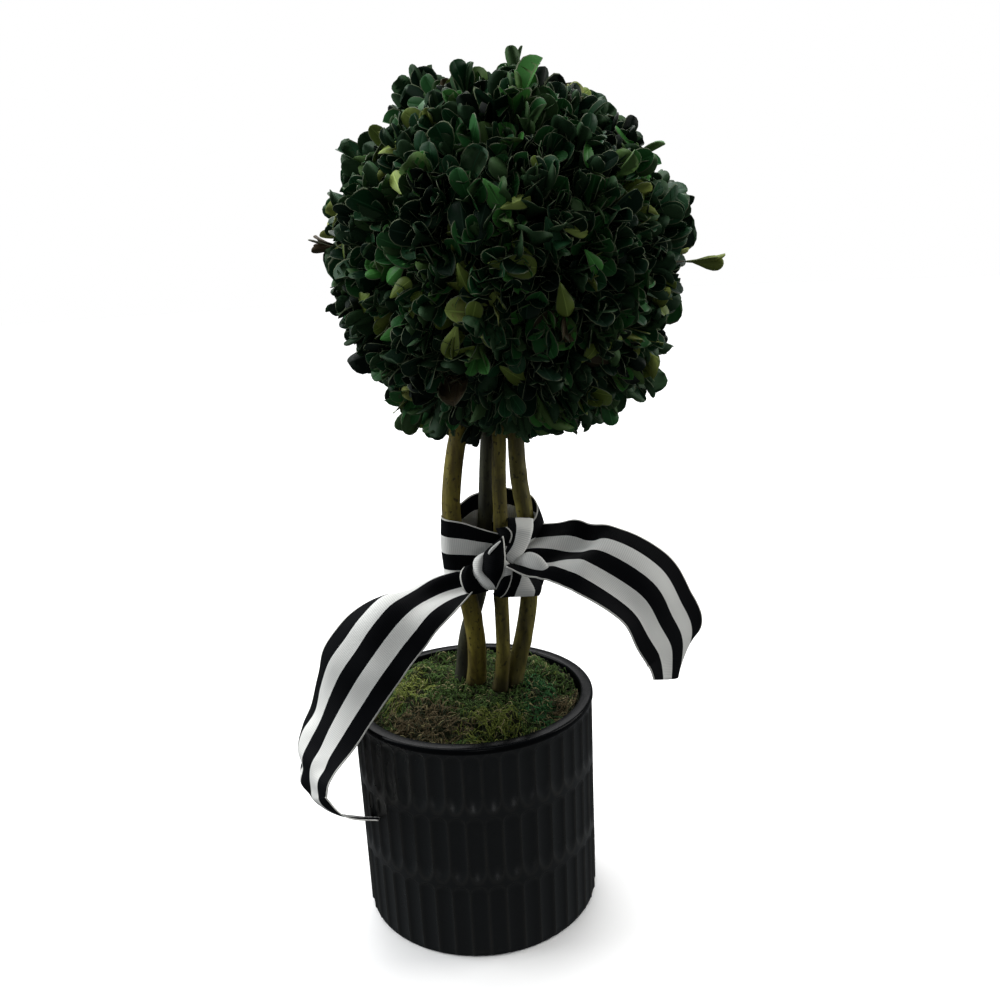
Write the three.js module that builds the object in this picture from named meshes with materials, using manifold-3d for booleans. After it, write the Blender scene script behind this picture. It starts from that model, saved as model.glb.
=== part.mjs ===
// A small box topiary: one clipped ball of leaves on four bent stems, standing in moss in a round
// glazed pot, with a wide ribbon tied round the stems.
//
// Millimetres, +Z up. The origin is the centre of the pot's underside, and the front is the -Y side.
// Neighbouring pieces keep GAP of air between them, so that each one is a solid of its own.

import * as THREE from 'three';
import { mergeVertices } from 'three/addons/utils/BufferGeometryUtils.js';
import Module from 'manifold-3d';

const wasm = await Module();
wasm.setup();

// Driving dimensions

const GAP = 0.3;

const POT = {
  height: 98.4,
  lipRadius: 54, // outside of the plain rim band
  wallRadius: 53.5, // under the rim band
  footRadius: 52.8, // above the bevel of the foot
  footBevel: 1.6,
  rimBand: 5.5, // height of the plain band under the rim
  rimRound: 1.4, // rounding of the rim's two edges
  mouthRadius: 48.5,
  floorRadius: 47.5,
  floorThickness: 6,
  sides: 64,
};

const MOSS = {
  crown: 97.7, // level top that the stems stand on
  crownRadius: 26,
  edge: 92.6, // height where the moss meets the pot
  underside: 84,
  hummock: 1.3, // unevenness between crown and edge
  sides: 40,
};

const BALL = {
  centre: new THREE.Vector3(24.5, 0, 286.7),
  radius: 69.2,
  clumpHeight: 3.2, // leaf clumps stand this proud of the clipped surface
  clumpSpread: 8, // angle in degrees over which a clump rises
  clumps: 90,
  detail: 13,
};

// Shoots that escaped the shears: where each tip is.
const LONG_SHOOTS = [
  new THREE.Vector3(31.7, 0, 363.3),
  new THREE.Vector3(108.9, 0, 280.6),
  new THREE.Vector3(-54.7, 0, 295.2),
];
const SHOOT_SPREAD = 4.5; // degrees

// Each stem: radius at the foot and where it enters the ball, and the line of its middle.
const STEMS = {
  stem_left: {
    footRadius: 4.1,
    topRadius: 3.8,
    line: [[1.3, 8, 98], [2.4, 4.4, 108], [2.8, 2.4, 122], [0.7, 0, 141], [-4.5, -2, 180],
      [-4, -2.2, 190], [-1.7, -2.7, 206], [2.2, -3.2, 222], [8, -3.4, 236]],
  },
  stem_centre: {
    footRadius: 3.2,
    topRadius: 3,
    line: [[12.4, 0.4, 98], [14.4, -2, 112], [14.9, -3, 125], [15, -4, 142], [16.4, -5, 180],
      [16.6, -5, 198], [18.2, -5, 222], [19, -4.8, 236]],
  },
  stem_right: {
    footRadius: 4,
    topRadius: 3.4,
    line: [[18.6, 4.8, 98], [21.2, 4.4, 110], [25.6, 4.6, 128], [27.6, 5.2, 143], [27.2, 6, 177],
      [25, 5.6, 194], [24.6, 5.2, 206], [25, 5, 236]],
  },
  stem_back: {
    footRadius: 3.5,
    topRadius: 3.1,
    line: [[-4.8, 13.6, 98], [-3.2, 13.4, 112], [-1.2, 13.2, 122], [5.1, 13, 140], [9.6, 13, 176],
      [11.2, 11.6, 195], [12.6, 10.4, 210], [15, 9, 236]],
  },
};
const STEM_SIDES = 12;
const STEM_STEPS = 16;

const RIBBON = {
  thickness: 0.8,
  clear: 0.45, // air between the stems and the turn round them
};

// The turn of ribbon round the stems, drawn in a little by the knot. Its lower edge lies level at the
// left stem, and climbs behind and drops in front the further it is to the right.
const TURN = {
  width: 33,
  lowerEdge: 147.9,
  leftX: -9,
  levelY: 5.3,
  climb: 0.0165,
  directions: 56,
  levels: 6,
};

const KNOT = {
  centre: new THREE.Vector3(9.6, -17.1, 164),
  size: new THREE.Vector3(21, 15.4, 28),
  squareness: 2.6, // 2 is an egg, higher is boxier
  lean: 12, // degrees, top towards +X
  folds: 0.05, // depth of the folds, as a share of the radius
};

// Each tail of the 38.1 mm ribbon: its middle line, the direction across it towards its lower edge, and
// its width there, which is less where the knot gathers it and where its cut end curls up.
const TAILS = {
  ribbon_tail_left: [
    { at: [-1.8, -18.5, 156], across: [0.15, -0.97, -0.2], width: 21 },
    { at: [-16.7, -22.3, 150.1], across: [0.46, -0.87, -0.16], width: 31 },
    { at: [-28.1, -27, 143.7], across: [0.54, -0.76, -0.37], width: 37 },
    { at: [-42.6, -30.6, 130.2], across: [0.64, -0.56, -0.52], width: 38.1 },
    { at: [-55.2, -28.4, 109.9], across: [0.65, -0.67, -0.36], width: 38.1 },
    { at: [-64.8, -30.4, 91.2], across: [0.54, -0.84, -0.02], width: 38.1 },
    { at: [-69, -33.6, 80.2], across: [0.5, -0.86, 0.1], width: 38.1 },
    { at: [-68.6, -34.4, 70.6], across: [0.38, -0.88, 0.28], width: 37 },
    { at: [-58.6, -37, 62.4], across: [0.42, -0.84, 0.34], width: 26 },
    { at: [-41.3, -37, 58.4], across: [0.6, -0.5, 0.2], width: 8 },
  ],
  ribbon_tail_right: [
    { at: [21.6, -15.2, 168.6], across: [-0.2, -0.8, -0.57], width: 20 },
    { at: [35.9, -15.9, 167.7], across: [-0.2, -0.84, -0.51], width: 31 },
    { at: [46.3, -18.9, 166.8], across: [-0.39, -0.82, -0.41], width: 38.1 },
    { at: [56, -23.5, 165.1], across: [-0.49, -0.71, -0.5], width: 38.1 },
    { at: [73.2, -26.7, 151.8], across: [-0.58, -0.61, -0.54], width: 38.1 },
    { at: [81.2, -24.7, 140], across: [-0.63, -0.61, -0.48], width: 38.1 },
    { at: [88.2, -21.4, 123.7], across: [-0.7, -0.63, -0.33], width: 38.1 },
    { at: [82.7, -25.2, 111.6], across: [-0.5, -0.8, 0.33], width: 24 },
  ],
};
const TAIL_STEPS = 26;
const TAIL_STEPS_ACROSS = 4;

const COLOURS = {
  glaze: 0x0d1012,
  foam: 0x3b4a2c,
  moss: 0x6d7434,
  bark: 0x6e6430,
  darkBark: 0x2c2d1e,
  leaf: 0x16301a,
  ribbon: 0xd9d9d4,
};

// Helpers

const golden = Math.PI * (3 - Math.sqrt(5));
const degrees = THREE.MathUtils.degToRad;
const smoothstep = THREE.MathUtils.smoothstep;

/** A closed geometry whose points are shared, so that it is one body. */
function welded(geometry) {
  geometry.deleteAttribute('normal');
  geometry.deleteAttribute('uv');
  return mergeVertices(geometry, 1e-4);
}

/** Moves each point of a geometry to move(point). */
function reshape(geometry, move) {
  const position = geometry.attributes.position;
  const point = new THREE.Vector3();
  for (let i = 0; i < position.count; i += 1) {
    move(point.fromBufferAttribute(position, i));
    position.setXYZ(i, point.x, point.y, point.z);
  }
  return geometry;
}

function toSolid(geometry) {
  const vertProperties = new Float32Array(geometry.attributes.position.array);
  const triVerts = new Uint32Array(geometry.index.array);
  return new wasm.Manifold(new wasm.Mesh({ numProp: 3, vertProperties, triVerts }));
}

function toGeometry(solid) {
  const mesh = solid.getMesh();
  const geometry = new THREE.BufferGeometry();
  geometry.setAttribute('position', new THREE.BufferAttribute(mesh.vertProperties, 3));
  geometry.setIndex(new THREE.BufferAttribute(mesh.triVerts, 1));
  return geometry;
}

function part(name, geometry, color, roughness) {
  const material = new THREE.MeshStandardMaterial({ color, roughness, metalness: 0, flatShading: true });
  const mesh = new THREE.Mesh(geometry, material);
  mesh.name = name;
  return mesh;
}

/** A solid of revolution about Z. The outline runs from the axis below to the axis above. */
function turned(outline, sides) {
  const points = outline.map(([radius, height]) => new THREE.Vector2(radius, height));
  const geometry = new THREE.LatheGeometry(points, sides);
  geometry.rotateX(Math.PI / 2);
  return geometry;
}

// The pot, what fills it, and the moss

function potGeometry() {
  const { height, lipRadius, mouthRadius, rimRound, rimBand } = POT;
  return welded(turned([
    [0, 0],
    [POT.footRadius - POT.footBevel, 0],
    [POT.footRadius, POT.footBevel],
    [POT.wallRadius, height - rimBand],
    [lipRadius, height - rimBand],
    [lipRadius, height - rimRound],
    [lipRadius - rimRound, height],
    [mouthRadius + rimRound, height],
    [mouthRadius, height - rimRound],
    [POT.floorRadius, POT.floorThickness],
    [0, POT.floorThickness],
  ], POT.sides));
}

/** Inside radius of the pot at a height. */
function innerRadius(height) {
  const share = (height - POT.floorThickness) / (POT.height - POT.rimRound - POT.floorThickness);
  return THREE.MathUtils.lerp(POT.floorRadius, POT.mouthRadius, share);
}

function plugGeometry() {
  const foot = POT.floorThickness + GAP;
  const top = MOSS.underside - GAP;
  return welded(turned([
    [0, foot],
    [innerRadius(foot) - 2 * GAP, foot],
    [innerRadius(top) - 2 * GAP, top],
    [0, top],
  ], POT.sides));
}

/** A low dome: level on top, falling to the pot's wall in uneven hummocks. */
function mossGeometry() {
  const edgeRadius = innerRadius(MOSS.underside) - 2 * GAP;
  const rings = [MOSS.crownRadius, 32, 38, 43, edgeRadius - 0.6];
  const height = (radius) => THREE.MathUtils.lerp(
    MOSS.crown, MOSS.edge, smoothstep(radius, MOSS.crownRadius, edgeRadius),
  );
  const outline = [
    [0, MOSS.underside],
    [edgeRadius, MOSS.underside],
    ...rings.reverse().map((radius) => [radius, height(radius)]),
    [0, MOSS.crown],
  ];
  const geometry = turned(outline, MOSS.sides);
  return welded(reshape(geometry, (p) => {
    const radius = Math.hypot(p.x, p.y);
    const angle = Math.atan2(p.y, p.x);
    const loose = smoothstep(radius, MOSS.crownRadius, 34) * (p.z > MOSS.underside + 1 ? 1 : 0);
    const wave = Math.sin(5 * angle + radius / 4) + 0.7 * Math.cos(9 * angle - radius / 3);
    p.z += MOSS.hummock * 0.6 * wave * loose;
  }));
}

// The stems

/** A tapering limb with level ends: a cylinder whose rings are moved along a curve. */
function limb(line, footRadius, topRadius) {
  const curve = new THREE.CatmullRomCurve3(line.map((p) => new THREE.Vector3(...p)), false, 'centripetal');
  const geometry = new THREE.CylinderGeometry(1, 1, 1, STEM_SIDES, STEM_STEPS);
  geometry.rotateX(Math.PI / 2);
  return welded(reshape(geometry, (p) => {
    const share = p.z + 0.5;
    const middle = curve.getPointAt(THREE.MathUtils.clamp(share, 0, 1));
    const radius = THREE.MathUtils.lerp(footRadius, topRadius, share);
    p.set(middle.x + radius * p.x, middle.y + radius * p.y, middle.z);
  }));
}

/** A stem cut off where it enters the ball. */
function stemGeometry({ line, footRadius, topRadius }) {
  const whole = toSolid(limb(line, footRadius, topRadius));
  return toGeometry(whole.subtract(toSolid(ballGeometry(GAP))));
}

// The ball

/** Directions spread evenly over a sphere along a golden-angle spiral. */
function spiralDirections(count) {
  return Array.from({ length: count }, (_, i) => {
    const height = 1 - (2 * i + 1) / count;
    const ring = Math.sqrt(1 - height * height);
    return new THREE.Vector3(ring * Math.cos(golden * i), ring * Math.sin(golden * i), height);
  });
}

const CLUMPS = spiralDirections(BALL.clumps).map((direction, i) => ({
  direction,
  height: BALL.clumpHeight * (0.45 + 0.55 * Math.abs(Math.sin(2.3 * i))),
  spread: degrees(BALL.clumpSpread),
}));

const SHOOTS = LONG_SHOOTS.map((tip) => {
  const reach = tip.clone().sub(BALL.centre);
  return {
    direction: reach.clone().normalize(),
    height: reach.length() - BALL.radius,
    spread: degrees(SHOOT_SPREAD),
  };
});

/** How far the leaf mass reaches in a direction: a sphere with a hump for each clump and shoot. */
function ballReach(direction) {
  const hump = ({ direction: top, height, spread }) => (
    height * Math.exp(-((direction.angleTo(top) / spread) ** 2))
  );
  const clumps = CLUMPS.reduce((sum, clump) => sum + hump(clump), 0);
  const shoots = SHOOTS.map(hump);
  return BALL.radius + Math.max(clumps, ...shoots);
}

/** Turns the point of a unit sphere that lies nearest to a direction onto that direction. */
function pointAt(sphere, direction) {
  const position = sphere.attributes.position;
  const point = new THREE.Vector3();
  const nearness = Array.from({ length: position.count }, (_, i) => (
    point.fromBufferAttribute(position, i).dot(direction)
  ));
  position.setXYZ(nearness.indexOf(Math.max(...nearness)), ...direction.toArray());
}

/** The clipped ball, or a copy of it grown by a margin. */
function ballGeometry(margin) {
  const sphere = welded(new THREE.IcosahedronGeometry(1, BALL.detail));
  SHOOTS.forEach(({ direction }) => pointAt(sphere, direction));
  return reshape(sphere, (p) => {
    const direction = p.clone().normalize();
    p.copy(direction).multiplyScalar(ballReach(direction) + margin).add(BALL.centre);
  });
}

// The ribbon

/** Circles that the stems fill between the lower and the upper edge of the turn. */
function stemCircles() {
  const levels = Array.from({ length: TURN.levels }, (_, i) => (
    TURN.lowerEdge + (TURN.width * i) / (TURN.levels - 1)
  ));
  return Object.values(STEMS).flatMap(({ line, footRadius }) => levels.map((level) => {
    const above = line.findIndex((p) => p[2] > level);
    const [low, high] = [line[above - 1], line[above]];
    const share = (level - low[2]) / (high[2] - low[2]);
    return {
      x: THREE.MathUtils.lerp(low[0], high[0], share),
      y: THREE.MathUtils.lerp(low[1], high[1], share),
      radius: footRadius,
    };
  }));
}

/** The tightest loop round all the stems, kept a margin clear of them. */
function loopPoints(margin) {
  const circles = stemCircles();
  return Array.from({ length: TURN.directions }, (_, i) => {
    const angle = (2 * Math.PI * i) / TURN.directions;
    const [nx, ny] = [Math.cos(angle), Math.sin(angle)];
    const reach = circles.map(({ x, y, radius }) => x * nx + y * ny + radius);
    const { x, y, radius } = circles[reach.indexOf(Math.max(...reach))];
    return new THREE.Vector2(x + (radius + margin) * nx, y + (radius + margin) * ny);
  });
}

/** One turn of ribbon: a band standing on edge round the stems. */
function turnGeometry() {
  const outline = new THREE.Shape(loopPoints(RIBBON.clear + RIBBON.thickness));
  outline.holes.push(new THREE.Path(loopPoints(RIBBON.clear)));
  const band = new THREE.ExtrudeGeometry(outline, { depth: TURN.width, bevelEnabled: false });
  return welded(reshape(band, (p) => {
    p.z += TURN.lowerEdge + TURN.climb * (p.x - TURN.leftX) * (p.y - TURN.levelY);
  }));
}

/** The knot: a rounded lump with shallow folds wound round it. */
function knotGeometry() {
  const power = 2 / KNOT.squareness;
  const bulge = (value) => Math.sign(value) * Math.abs(value) ** power;
  const geometry = reshape(welded(new THREE.SphereGeometry(1, 28, 18)), (p) => {
    const winding = Math.atan2(p.z, p.x);
    const fold = 1 + KNOT.folds * Math.cos(5 * winding + 3 * p.y) * Math.hypot(p.x, p.z);
    p.set(bulge(p.x), bulge(p.y), bulge(p.z)).multiplyScalar(0.5 * fold).multiply(KNOT.size);
  });
  geometry.rotateY(degrees(KNOT.lean));
  return geometry.translate(...KNOT.centre);
}

/** A flat strip laid along a middle line, turned so that its width points across. */
function tailGeometry(stations) {
  const curve = (key) => new THREE.CatmullRomCurve3(
    stations.map((station) => new THREE.Vector3(...station[key])), false, 'catmullrom', 0.5,
  );
  const middle = curve('at');
  const across = curve('across');
  const widths = new THREE.CatmullRomCurve3(
    stations.map(({ width }, i) => new THREE.Vector3(i, width, 0)), false, 'catmullrom', 0.5,
  );
  const strip = new THREE.BoxGeometry(1, 1, 1, TAIL_STEPS, TAIL_STEPS_ACROSS, 1);
  return welded(reshape(strip, (p) => {
    const share = THREE.MathUtils.clamp(p.x + 0.5, 0, 1);
    const sideways = p.y * widths.getPoint(share).y;
    const outwards = p.z * RIBBON.thickness;
    const along = middle.getTangent(share);
    const side = across.getPoint(share);
    side.addScaledVector(along, -side.dot(along)).normalize();
    const out = new THREE.Vector3().crossVectors(along, side);
    p.copy(middle.getPoint(share)).addScaledVector(side, sideways).addScaledVector(out, outwards);
  }));
}

// Assembly

const topiary = new THREE.Group();
topiary.add(
  part('pot', potGeometry(), COLOURS.glaze, 0.3),
  part('foam_plug', plugGeometry(), COLOURS.foam, 0.95),
  part('moss', mossGeometry(), COLOURS.moss, 0.95),
);
Object.entries(STEMS).forEach(([name, stem]) => {
  const color = name === 'stem_back' ? COLOURS.darkBark : COLOURS.bark;
  topiary.add(part(name, stemGeometry(stem), color, 0.75));
});
topiary.add(
  part('foliage_ball', ballGeometry(0), COLOURS.leaf, 0.7),
  part('ribbon_turn', turnGeometry(), COLOURS.ribbon, 0.8),
  part('ribbon_knot', knotGeometry(), COLOURS.ribbon, 0.8),
);
Object.entries(TAILS).forEach(([name, stations]) => {
  topiary.add(part(name, tailGeometry(stations), COLOURS.ribbon, 0.8));
});

export default topiary;
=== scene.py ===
"""A small preserved box topiary: one clipped ball of leaves on four bent stems, standing in moss in a
round glazed pot, with a wide striped ribbon tied round the stems.

Metres, +Z up. The origin is the centre of the pot's underside, and the front is the -Y side.
"""

import math

import bpy
import numpy as np
from mathutils import Matrix, Vector


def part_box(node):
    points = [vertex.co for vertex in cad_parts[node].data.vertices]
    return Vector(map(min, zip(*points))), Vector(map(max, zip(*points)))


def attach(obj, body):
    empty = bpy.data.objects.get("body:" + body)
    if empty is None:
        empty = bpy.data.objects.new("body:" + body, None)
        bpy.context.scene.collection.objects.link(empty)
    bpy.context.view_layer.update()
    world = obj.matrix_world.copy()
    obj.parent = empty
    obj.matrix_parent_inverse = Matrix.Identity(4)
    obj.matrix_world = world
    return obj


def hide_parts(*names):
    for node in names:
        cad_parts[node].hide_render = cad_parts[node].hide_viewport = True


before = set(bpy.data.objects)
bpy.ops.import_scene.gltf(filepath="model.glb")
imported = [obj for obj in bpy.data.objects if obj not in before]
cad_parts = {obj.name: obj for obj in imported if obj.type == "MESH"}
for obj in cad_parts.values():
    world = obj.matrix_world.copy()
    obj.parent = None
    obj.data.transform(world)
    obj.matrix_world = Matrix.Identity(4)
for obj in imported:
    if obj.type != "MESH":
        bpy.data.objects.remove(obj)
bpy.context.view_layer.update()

MM = 0.001
rng = np.random.default_rng(41)


# ---------------------------------------------------------------- numbers and curves


def low_high(node):
    """Lowest and highest corner of a CAD node as arrays."""
    low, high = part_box(node)
    return np.array(low), np.array(high)


def unit(vectors):
    """Vectors scaled to length one along the last axis."""
    return vectors / np.maximum(np.linalg.norm(vectors, axis=-1, keepdims=True), 1e-12)


def mix(a, b, share):
    """a where share is 0, b where it is 1, and in between on a straight line."""
    return a + (b - a) * share


def ease(low, high, value):
    """0 below low, 1 above high, and a smooth S between them."""
    share = np.clip((value - low) / (high - low), 0, 1)
    return share * share * (3 - 2 * share)


def swing(a, b, turn):
    """a swung towards b by an angle: a times its cosine and b times its sine."""
    return a * np.cos(turn)[..., None] + b * np.sin(turn)[..., None]


def full_turn(count):
    """Angles at equal steps once round."""
    return 2 * math.pi * np.arange(count) / count


def through(stations, shares):
    """A smooth line through the stations. Between two stations it is the cubic whose slope at each of
    them is half the step from the station before it to the one after it."""
    stations = np.asarray(stations, float)
    if stations.ndim == 1:
        stations = stations[:, None]
    ends = np.vstack([2 * stations[:1] - stations[1:2], stations, 2 * stations[-1:] - stations[-2:-1]])
    place = np.clip(shares, 0, 1) * (len(stations) - 1)
    first = np.minimum(place.astype(int), len(stations) - 2)
    w = (place - first)[:, None]
    a, b, c, d = (ends[first + k] for k in range(4))
    return 0.5 * (2 * b + (c - a) * w + (2 * a - 5 * b + 4 * c - d) * w**2 + (3 * b - a - 3 * c + d) * w**3)


def length_along(line):
    """The length along a line from its first point to each of its points."""
    return np.r_[0, np.cumsum(np.linalg.norm(np.diff(line, axis=0), axis=1))]


def even(line, count):
    """The same line with its points spread at equal steps along its length."""
    along = length_along(line)
    return np.stack([np.interp(np.linspace(0, along[-1], count), along, axis) for axis in line.T], 1)


def spiral_directions(count):
    """Directions spread evenly over a sphere: equal steps in height, each turned on by the golden angle."""
    i = np.arange(count)
    height = 1 - (2 * i + 1) / count
    ring = np.sqrt(1 - height**2)
    turn = math.pi * (3 - math.sqrt(5)) * i
    return np.stack([ring * np.cos(turn), ring * np.sin(turn), height], 1)


def ripples(points, size, seed, octaves):
    """Smooth uneven values between about -1 and 1: sums of sine waves in random directions, each octave
    at half the wavelength and half the height of the one before."""
    dice = np.random.default_rng(seed)
    waves_each, height = 5, 0.36
    total = np.zeros(points.shape[:-1])
    for octave in range(octaves):
        waves = unit(dice.normal(size=(waves_each, points.shape[-1]))) * (2 * math.pi * 2**octave / size)
        phases = dice.uniform(0, 2 * math.pi, waves_each)
        total += np.sin(points @ waves.T + phases).sum(-1) * height * 0.5**octave
    return total


def bell(x, y, centre, size):
    """1 at the centre of an oval spot and falling to 0 round it on a bell curve. The centre and the size
    along x and y are in millimetres."""
    across = (x - centre[0] * MM) / (size[0] * MM)
    deep = (y - centre[1] * MM) / (size[1] * MM)
    return np.exp(-(across**2 + deep**2))


# ---------------------------------------------------------------- meshes


def grid_faces(rows, columns, closed_rows=False, closed_columns=False):
    """Four-sided faces of a grid of points, whose last row or column may join on to its first."""
    r = np.arange(rows if closed_rows else rows - 1)
    c = np.arange(columns if closed_columns else columns - 1)
    r, c = (a.ravel() for a in np.meshgrid(r, c, indexing="ij"))
    r2, c2 = (r + 1) % rows, (c + 1) % columns
    return np.stack([r * columns + c, r * columns + c2, r2 * columns + c2, r2 * columns + c], 1)


def fan(centre, ring):
    """Triangles from a centre point to each side of a ring of points."""
    ring = np.asarray(ring)
    return np.stack([np.full(len(ring), centre), ring, np.roll(ring, -1)], 1)


def closed_tube(rings, sides, downwards=False):
    """Faces of rings of points that follow each other upwards, and a fan over each end to the two points
    that come after the rings. Where the rings follow each other downwards every face is turned over."""
    quads = grid_faces(rings, sides, closed_columns=True)
    first, last = np.arange(sides)[::-1], (rings - 1) * sides + np.arange(sides)
    if downwards:
        quads, first, last = quads[:, ::-1], first[::-1], last[::-1]
    count = rings * sides
    return quads, np.vstack([fan(count, first), fan(count + 1, last)])


def repeat_faces(faces, points_each, count):
    """The faces of one shape, once for each of count copies that have points_each points."""
    return (faces[None] + points_each * np.arange(count)[:, None, None]).reshape(-1, faces.shape[1])


def piece(name, points, quads, triangles, materials, finishes=None, uv=None, numbers=None, *,
          stands_for=()):
    """A smooth mesh object from whole arrays. finishes is one material number for each face, quads first.
    uv is one pair for each point, and numbers are named values for each point. stands_for names the CAD
    nodes that the piece replaces."""
    points = np.asarray(points, np.float32).reshape(-1, 3)
    quads = np.asarray(quads, np.int32).reshape(-1, 4)
    triangles = np.asarray(triangles, np.int32).reshape(-1, 3)
    corners = np.r_[quads.ravel(), triangles.ravel()]
    sides = np.r_[np.full(len(quads), 4), np.full(len(triangles), 3)]
    mesh = bpy.data.meshes.new(name)
    mesh.vertices.add(len(points))
    mesh.vertices.foreach_set("co", points.ravel())
    mesh.loops.add(len(corners))
    mesh.loops.foreach_set("vertex_index", corners.astype(np.int32))
    mesh.polygons.add(len(sides))
    mesh.polygons.foreach_set("loop_start", np.r_[0, np.cumsum(sides)[:-1]].astype(np.int32))
    if finishes is not None:
        mesh.polygons.foreach_set("material_index", np.asarray(finishes, np.int32))
    mesh.polygons.foreach_set("use_smooth", np.full(len(sides), True))
    if uv is not None:
        layer = mesh.uv_layers.new(name="UVMap")
        layer.data.foreach_set("uv", np.asarray(uv, np.float32).reshape(-1, 2)[corners].ravel())
    for key, values in (numbers or {}).items():
        attribute = mesh.attributes.new(key, "FLOAT", "POINT")
        attribute.data.foreach_set("value", np.asarray(values, np.float32).ravel())
    mesh.update(calc_edges=True)
    mesh.validate()
    for material in materials:
        mesh.materials.append(material)
    made = bpy.data.objects.new(name, mesh)
    bpy.context.scene.collection.objects.link(made)
    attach(made, "root")
    if stands_for:
        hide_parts(*stands_for)
    return made


def limbs(lines, radii, sides):
    """Tapering limbs, all at once. lines is limbs x points x 3 and radii limbs x points: a circle of each
    radius is carried along each line, square to it, and both ends are closed with a fan. Returns the
    points, the four-sided faces and the triangles."""
    count, steps = radii.shape
    along = unit(np.gradient(lines, axis=1))
    reference = np.eye(3)[np.abs(along.mean(1)).argmin(1)][:, None, :]
    across = unit(np.cross(along, reference))
    other = np.cross(along, across)
    ring = swing(across[:, :, None], other[:, :, None], full_turn(sides))
    rings = (lines[:, :, None] + ring * radii[:, :, None, None]).reshape(count, -1, 3)
    points = np.concatenate([rings, lines[:, :1], lines[:, -1:]], 1)
    each = steps * sides + 2
    quads, ends = closed_tube(steps, sides)
    return points, repeat_faces(quads, each, count), repeat_faces(ends, each, count)


# ---------------------------------------------------------------- materials


class Finish:
    """A node material on one Principled shader, with short ways to add nodes and join them up."""

    def __init__(self, name, colour, roughness, specular):
        self.material = bpy.data.materials.new(name)
        self.material.use_nodes = True
        self.tree = self.material.node_tree
        self.shader = self.tree.nodes["Principled BSDF"]
        self.shader.inputs["Base Color"].default_value = (*colour, 1)
        self.shader.inputs["Roughness"].default_value = roughness
        self.shader.inputs["Specular IOR Level"].default_value = specular

    def node(self, kind, inputs=None, **settings):
        """A new node. Each of its inputs is a value, or an output of another node to join it to."""
        made = self.tree.nodes.new(kind)
        for key, value in settings.items():
            setattr(made, key, value)
        for key, value in (inputs or {}).items():
            if isinstance(value, bpy.types.NodeSocket):
                self.tree.links.new(value, made.inputs[key])
            else:
                made.inputs[key].default_value = value
        return made

    def place(self, scale=(1, 1, 1)):
        """Object coordinates in metres, stretched by scale."""
        spot = self.node("ShaderNodeTexCoord").outputs["Object"]
        return self.node("ShaderNodeMapping", {"Vector": spot, "Scale": scale}).outputs["Vector"]

    def noise(self, vector, scale, detail):
        """Cloudy unevenness, scale clouds to the metre, with detail finer layers."""
        return self.node("ShaderNodeTexNoise", {
            "Vector": vector, "Scale": scale, "Detail": detail, "Roughness": 0.55,
        }).outputs["Fac"]

    def spread(self, value, low, high, to_low, to_high):
        """A value between low and high, spread over to_low to to_high and held there."""
        return self.node("ShaderNodeMapRange", {
            "Value": value, "From Min": low, "From Max": high, "To Min": to_low, "To Max": to_high,
        }).outputs["Result"]

    def number(self, operation, a, b):
        """One sum on two values, such as ADD or MULTIPLY."""
        return self.node("ShaderNodeMath", {0: a, 1: b}, operation=operation).outputs["Value"]

    def ramp(self, value, stops):
        """The colour at a value, on a ramp with a colour at each stop."""
        made = self.node("ShaderNodeValToRGB", {"Fac": value})
        while len(made.color_ramp.elements) < len(stops):
            made.color_ramp.elements.new(0.5)
        for element, (place, colour) in zip(made.color_ramp.elements, stops):
            element.position = place
            element.color = (*colour, 1)
        return made.outputs["Color"]

    def blend(self, share, a, b):
        """Colour a where share is 0 and b where it is 1. The node has several sockets of each name, so the
        ones for colours go by number."""
        a, b = (colour if isinstance(colour, bpy.types.NodeSocket) else (*colour, 1) for colour in (a, b))
        made = self.node("ShaderNodeMix", {0: share, 6: a, 7: b}, data_type="RGBA", clamp_factor=True)
        return made.outputs[2]

    def use(self, socket, value):
        """Joins a node's output to a socket of the shader."""
        self.tree.links.new(value, self.shader.inputs[socket])

    def relief(self, height, distance, strength):
        """Bumps of the height value, at most distance metres high, and as sharp as the strength."""
        bump = self.node("ShaderNodeBump", {"Height": height, "Distance": distance, "Strength": strength})
        self.use("Normal", bump.outputs["Normal"])


def pot_glaze():
    """Black glaze: satin and a little uneven. Along the ridges of the flutes and round their arches it is
    lighter and browner: partly wear where the glaze is thin, partly painted highlight.
    """
    f = Finish("black_glaze", (0.005, 0.006, 0.0066), 0.3, specular=0.38)
    spot = f.place()
    ridge = f.node("ShaderNodeAttribute", attribute_name="ridge").outputs["Fac"]
    cloud = f.noise(spot, 60, 4)
    # Lighter, browner glaze along the ridges and round the arches: partly wear, partly painted highlight.
    wear_and_highlight = f.number("MULTIPLY", ridge, f.spread(cloud, 0.35, 0.7, 0.5, 1.0))
    f.use("Base Color", f.blend(wear_and_highlight, (0.0075, 0.009, 0.0098), (0.03, 0.029, 0.026)))
    f.use("Roughness", f.spread(f.noise(spot, 220, 3), 0.3, 0.7, 0.26, 0.4))
    f.relief(f.noise(spot, 420, 2), 0.00008, 0.6)
    return f.material


def painted_shade_lip_glaze():
    """The glaze on the lip and inside: a darker copy of the black glaze, smoother and far less shiny,
    which paints shade on the lip and inside the pot.
    """
    f = Finish("painted_shade_lip_glaze", (0.0016, 0.002, 0.0026), 0.22, specular=0.07)
    f.use("Roughness", f.spread(f.noise(f.place(), 300, 3), 0.3, 0.7, 0.16, 0.3))
    return f.material


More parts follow.
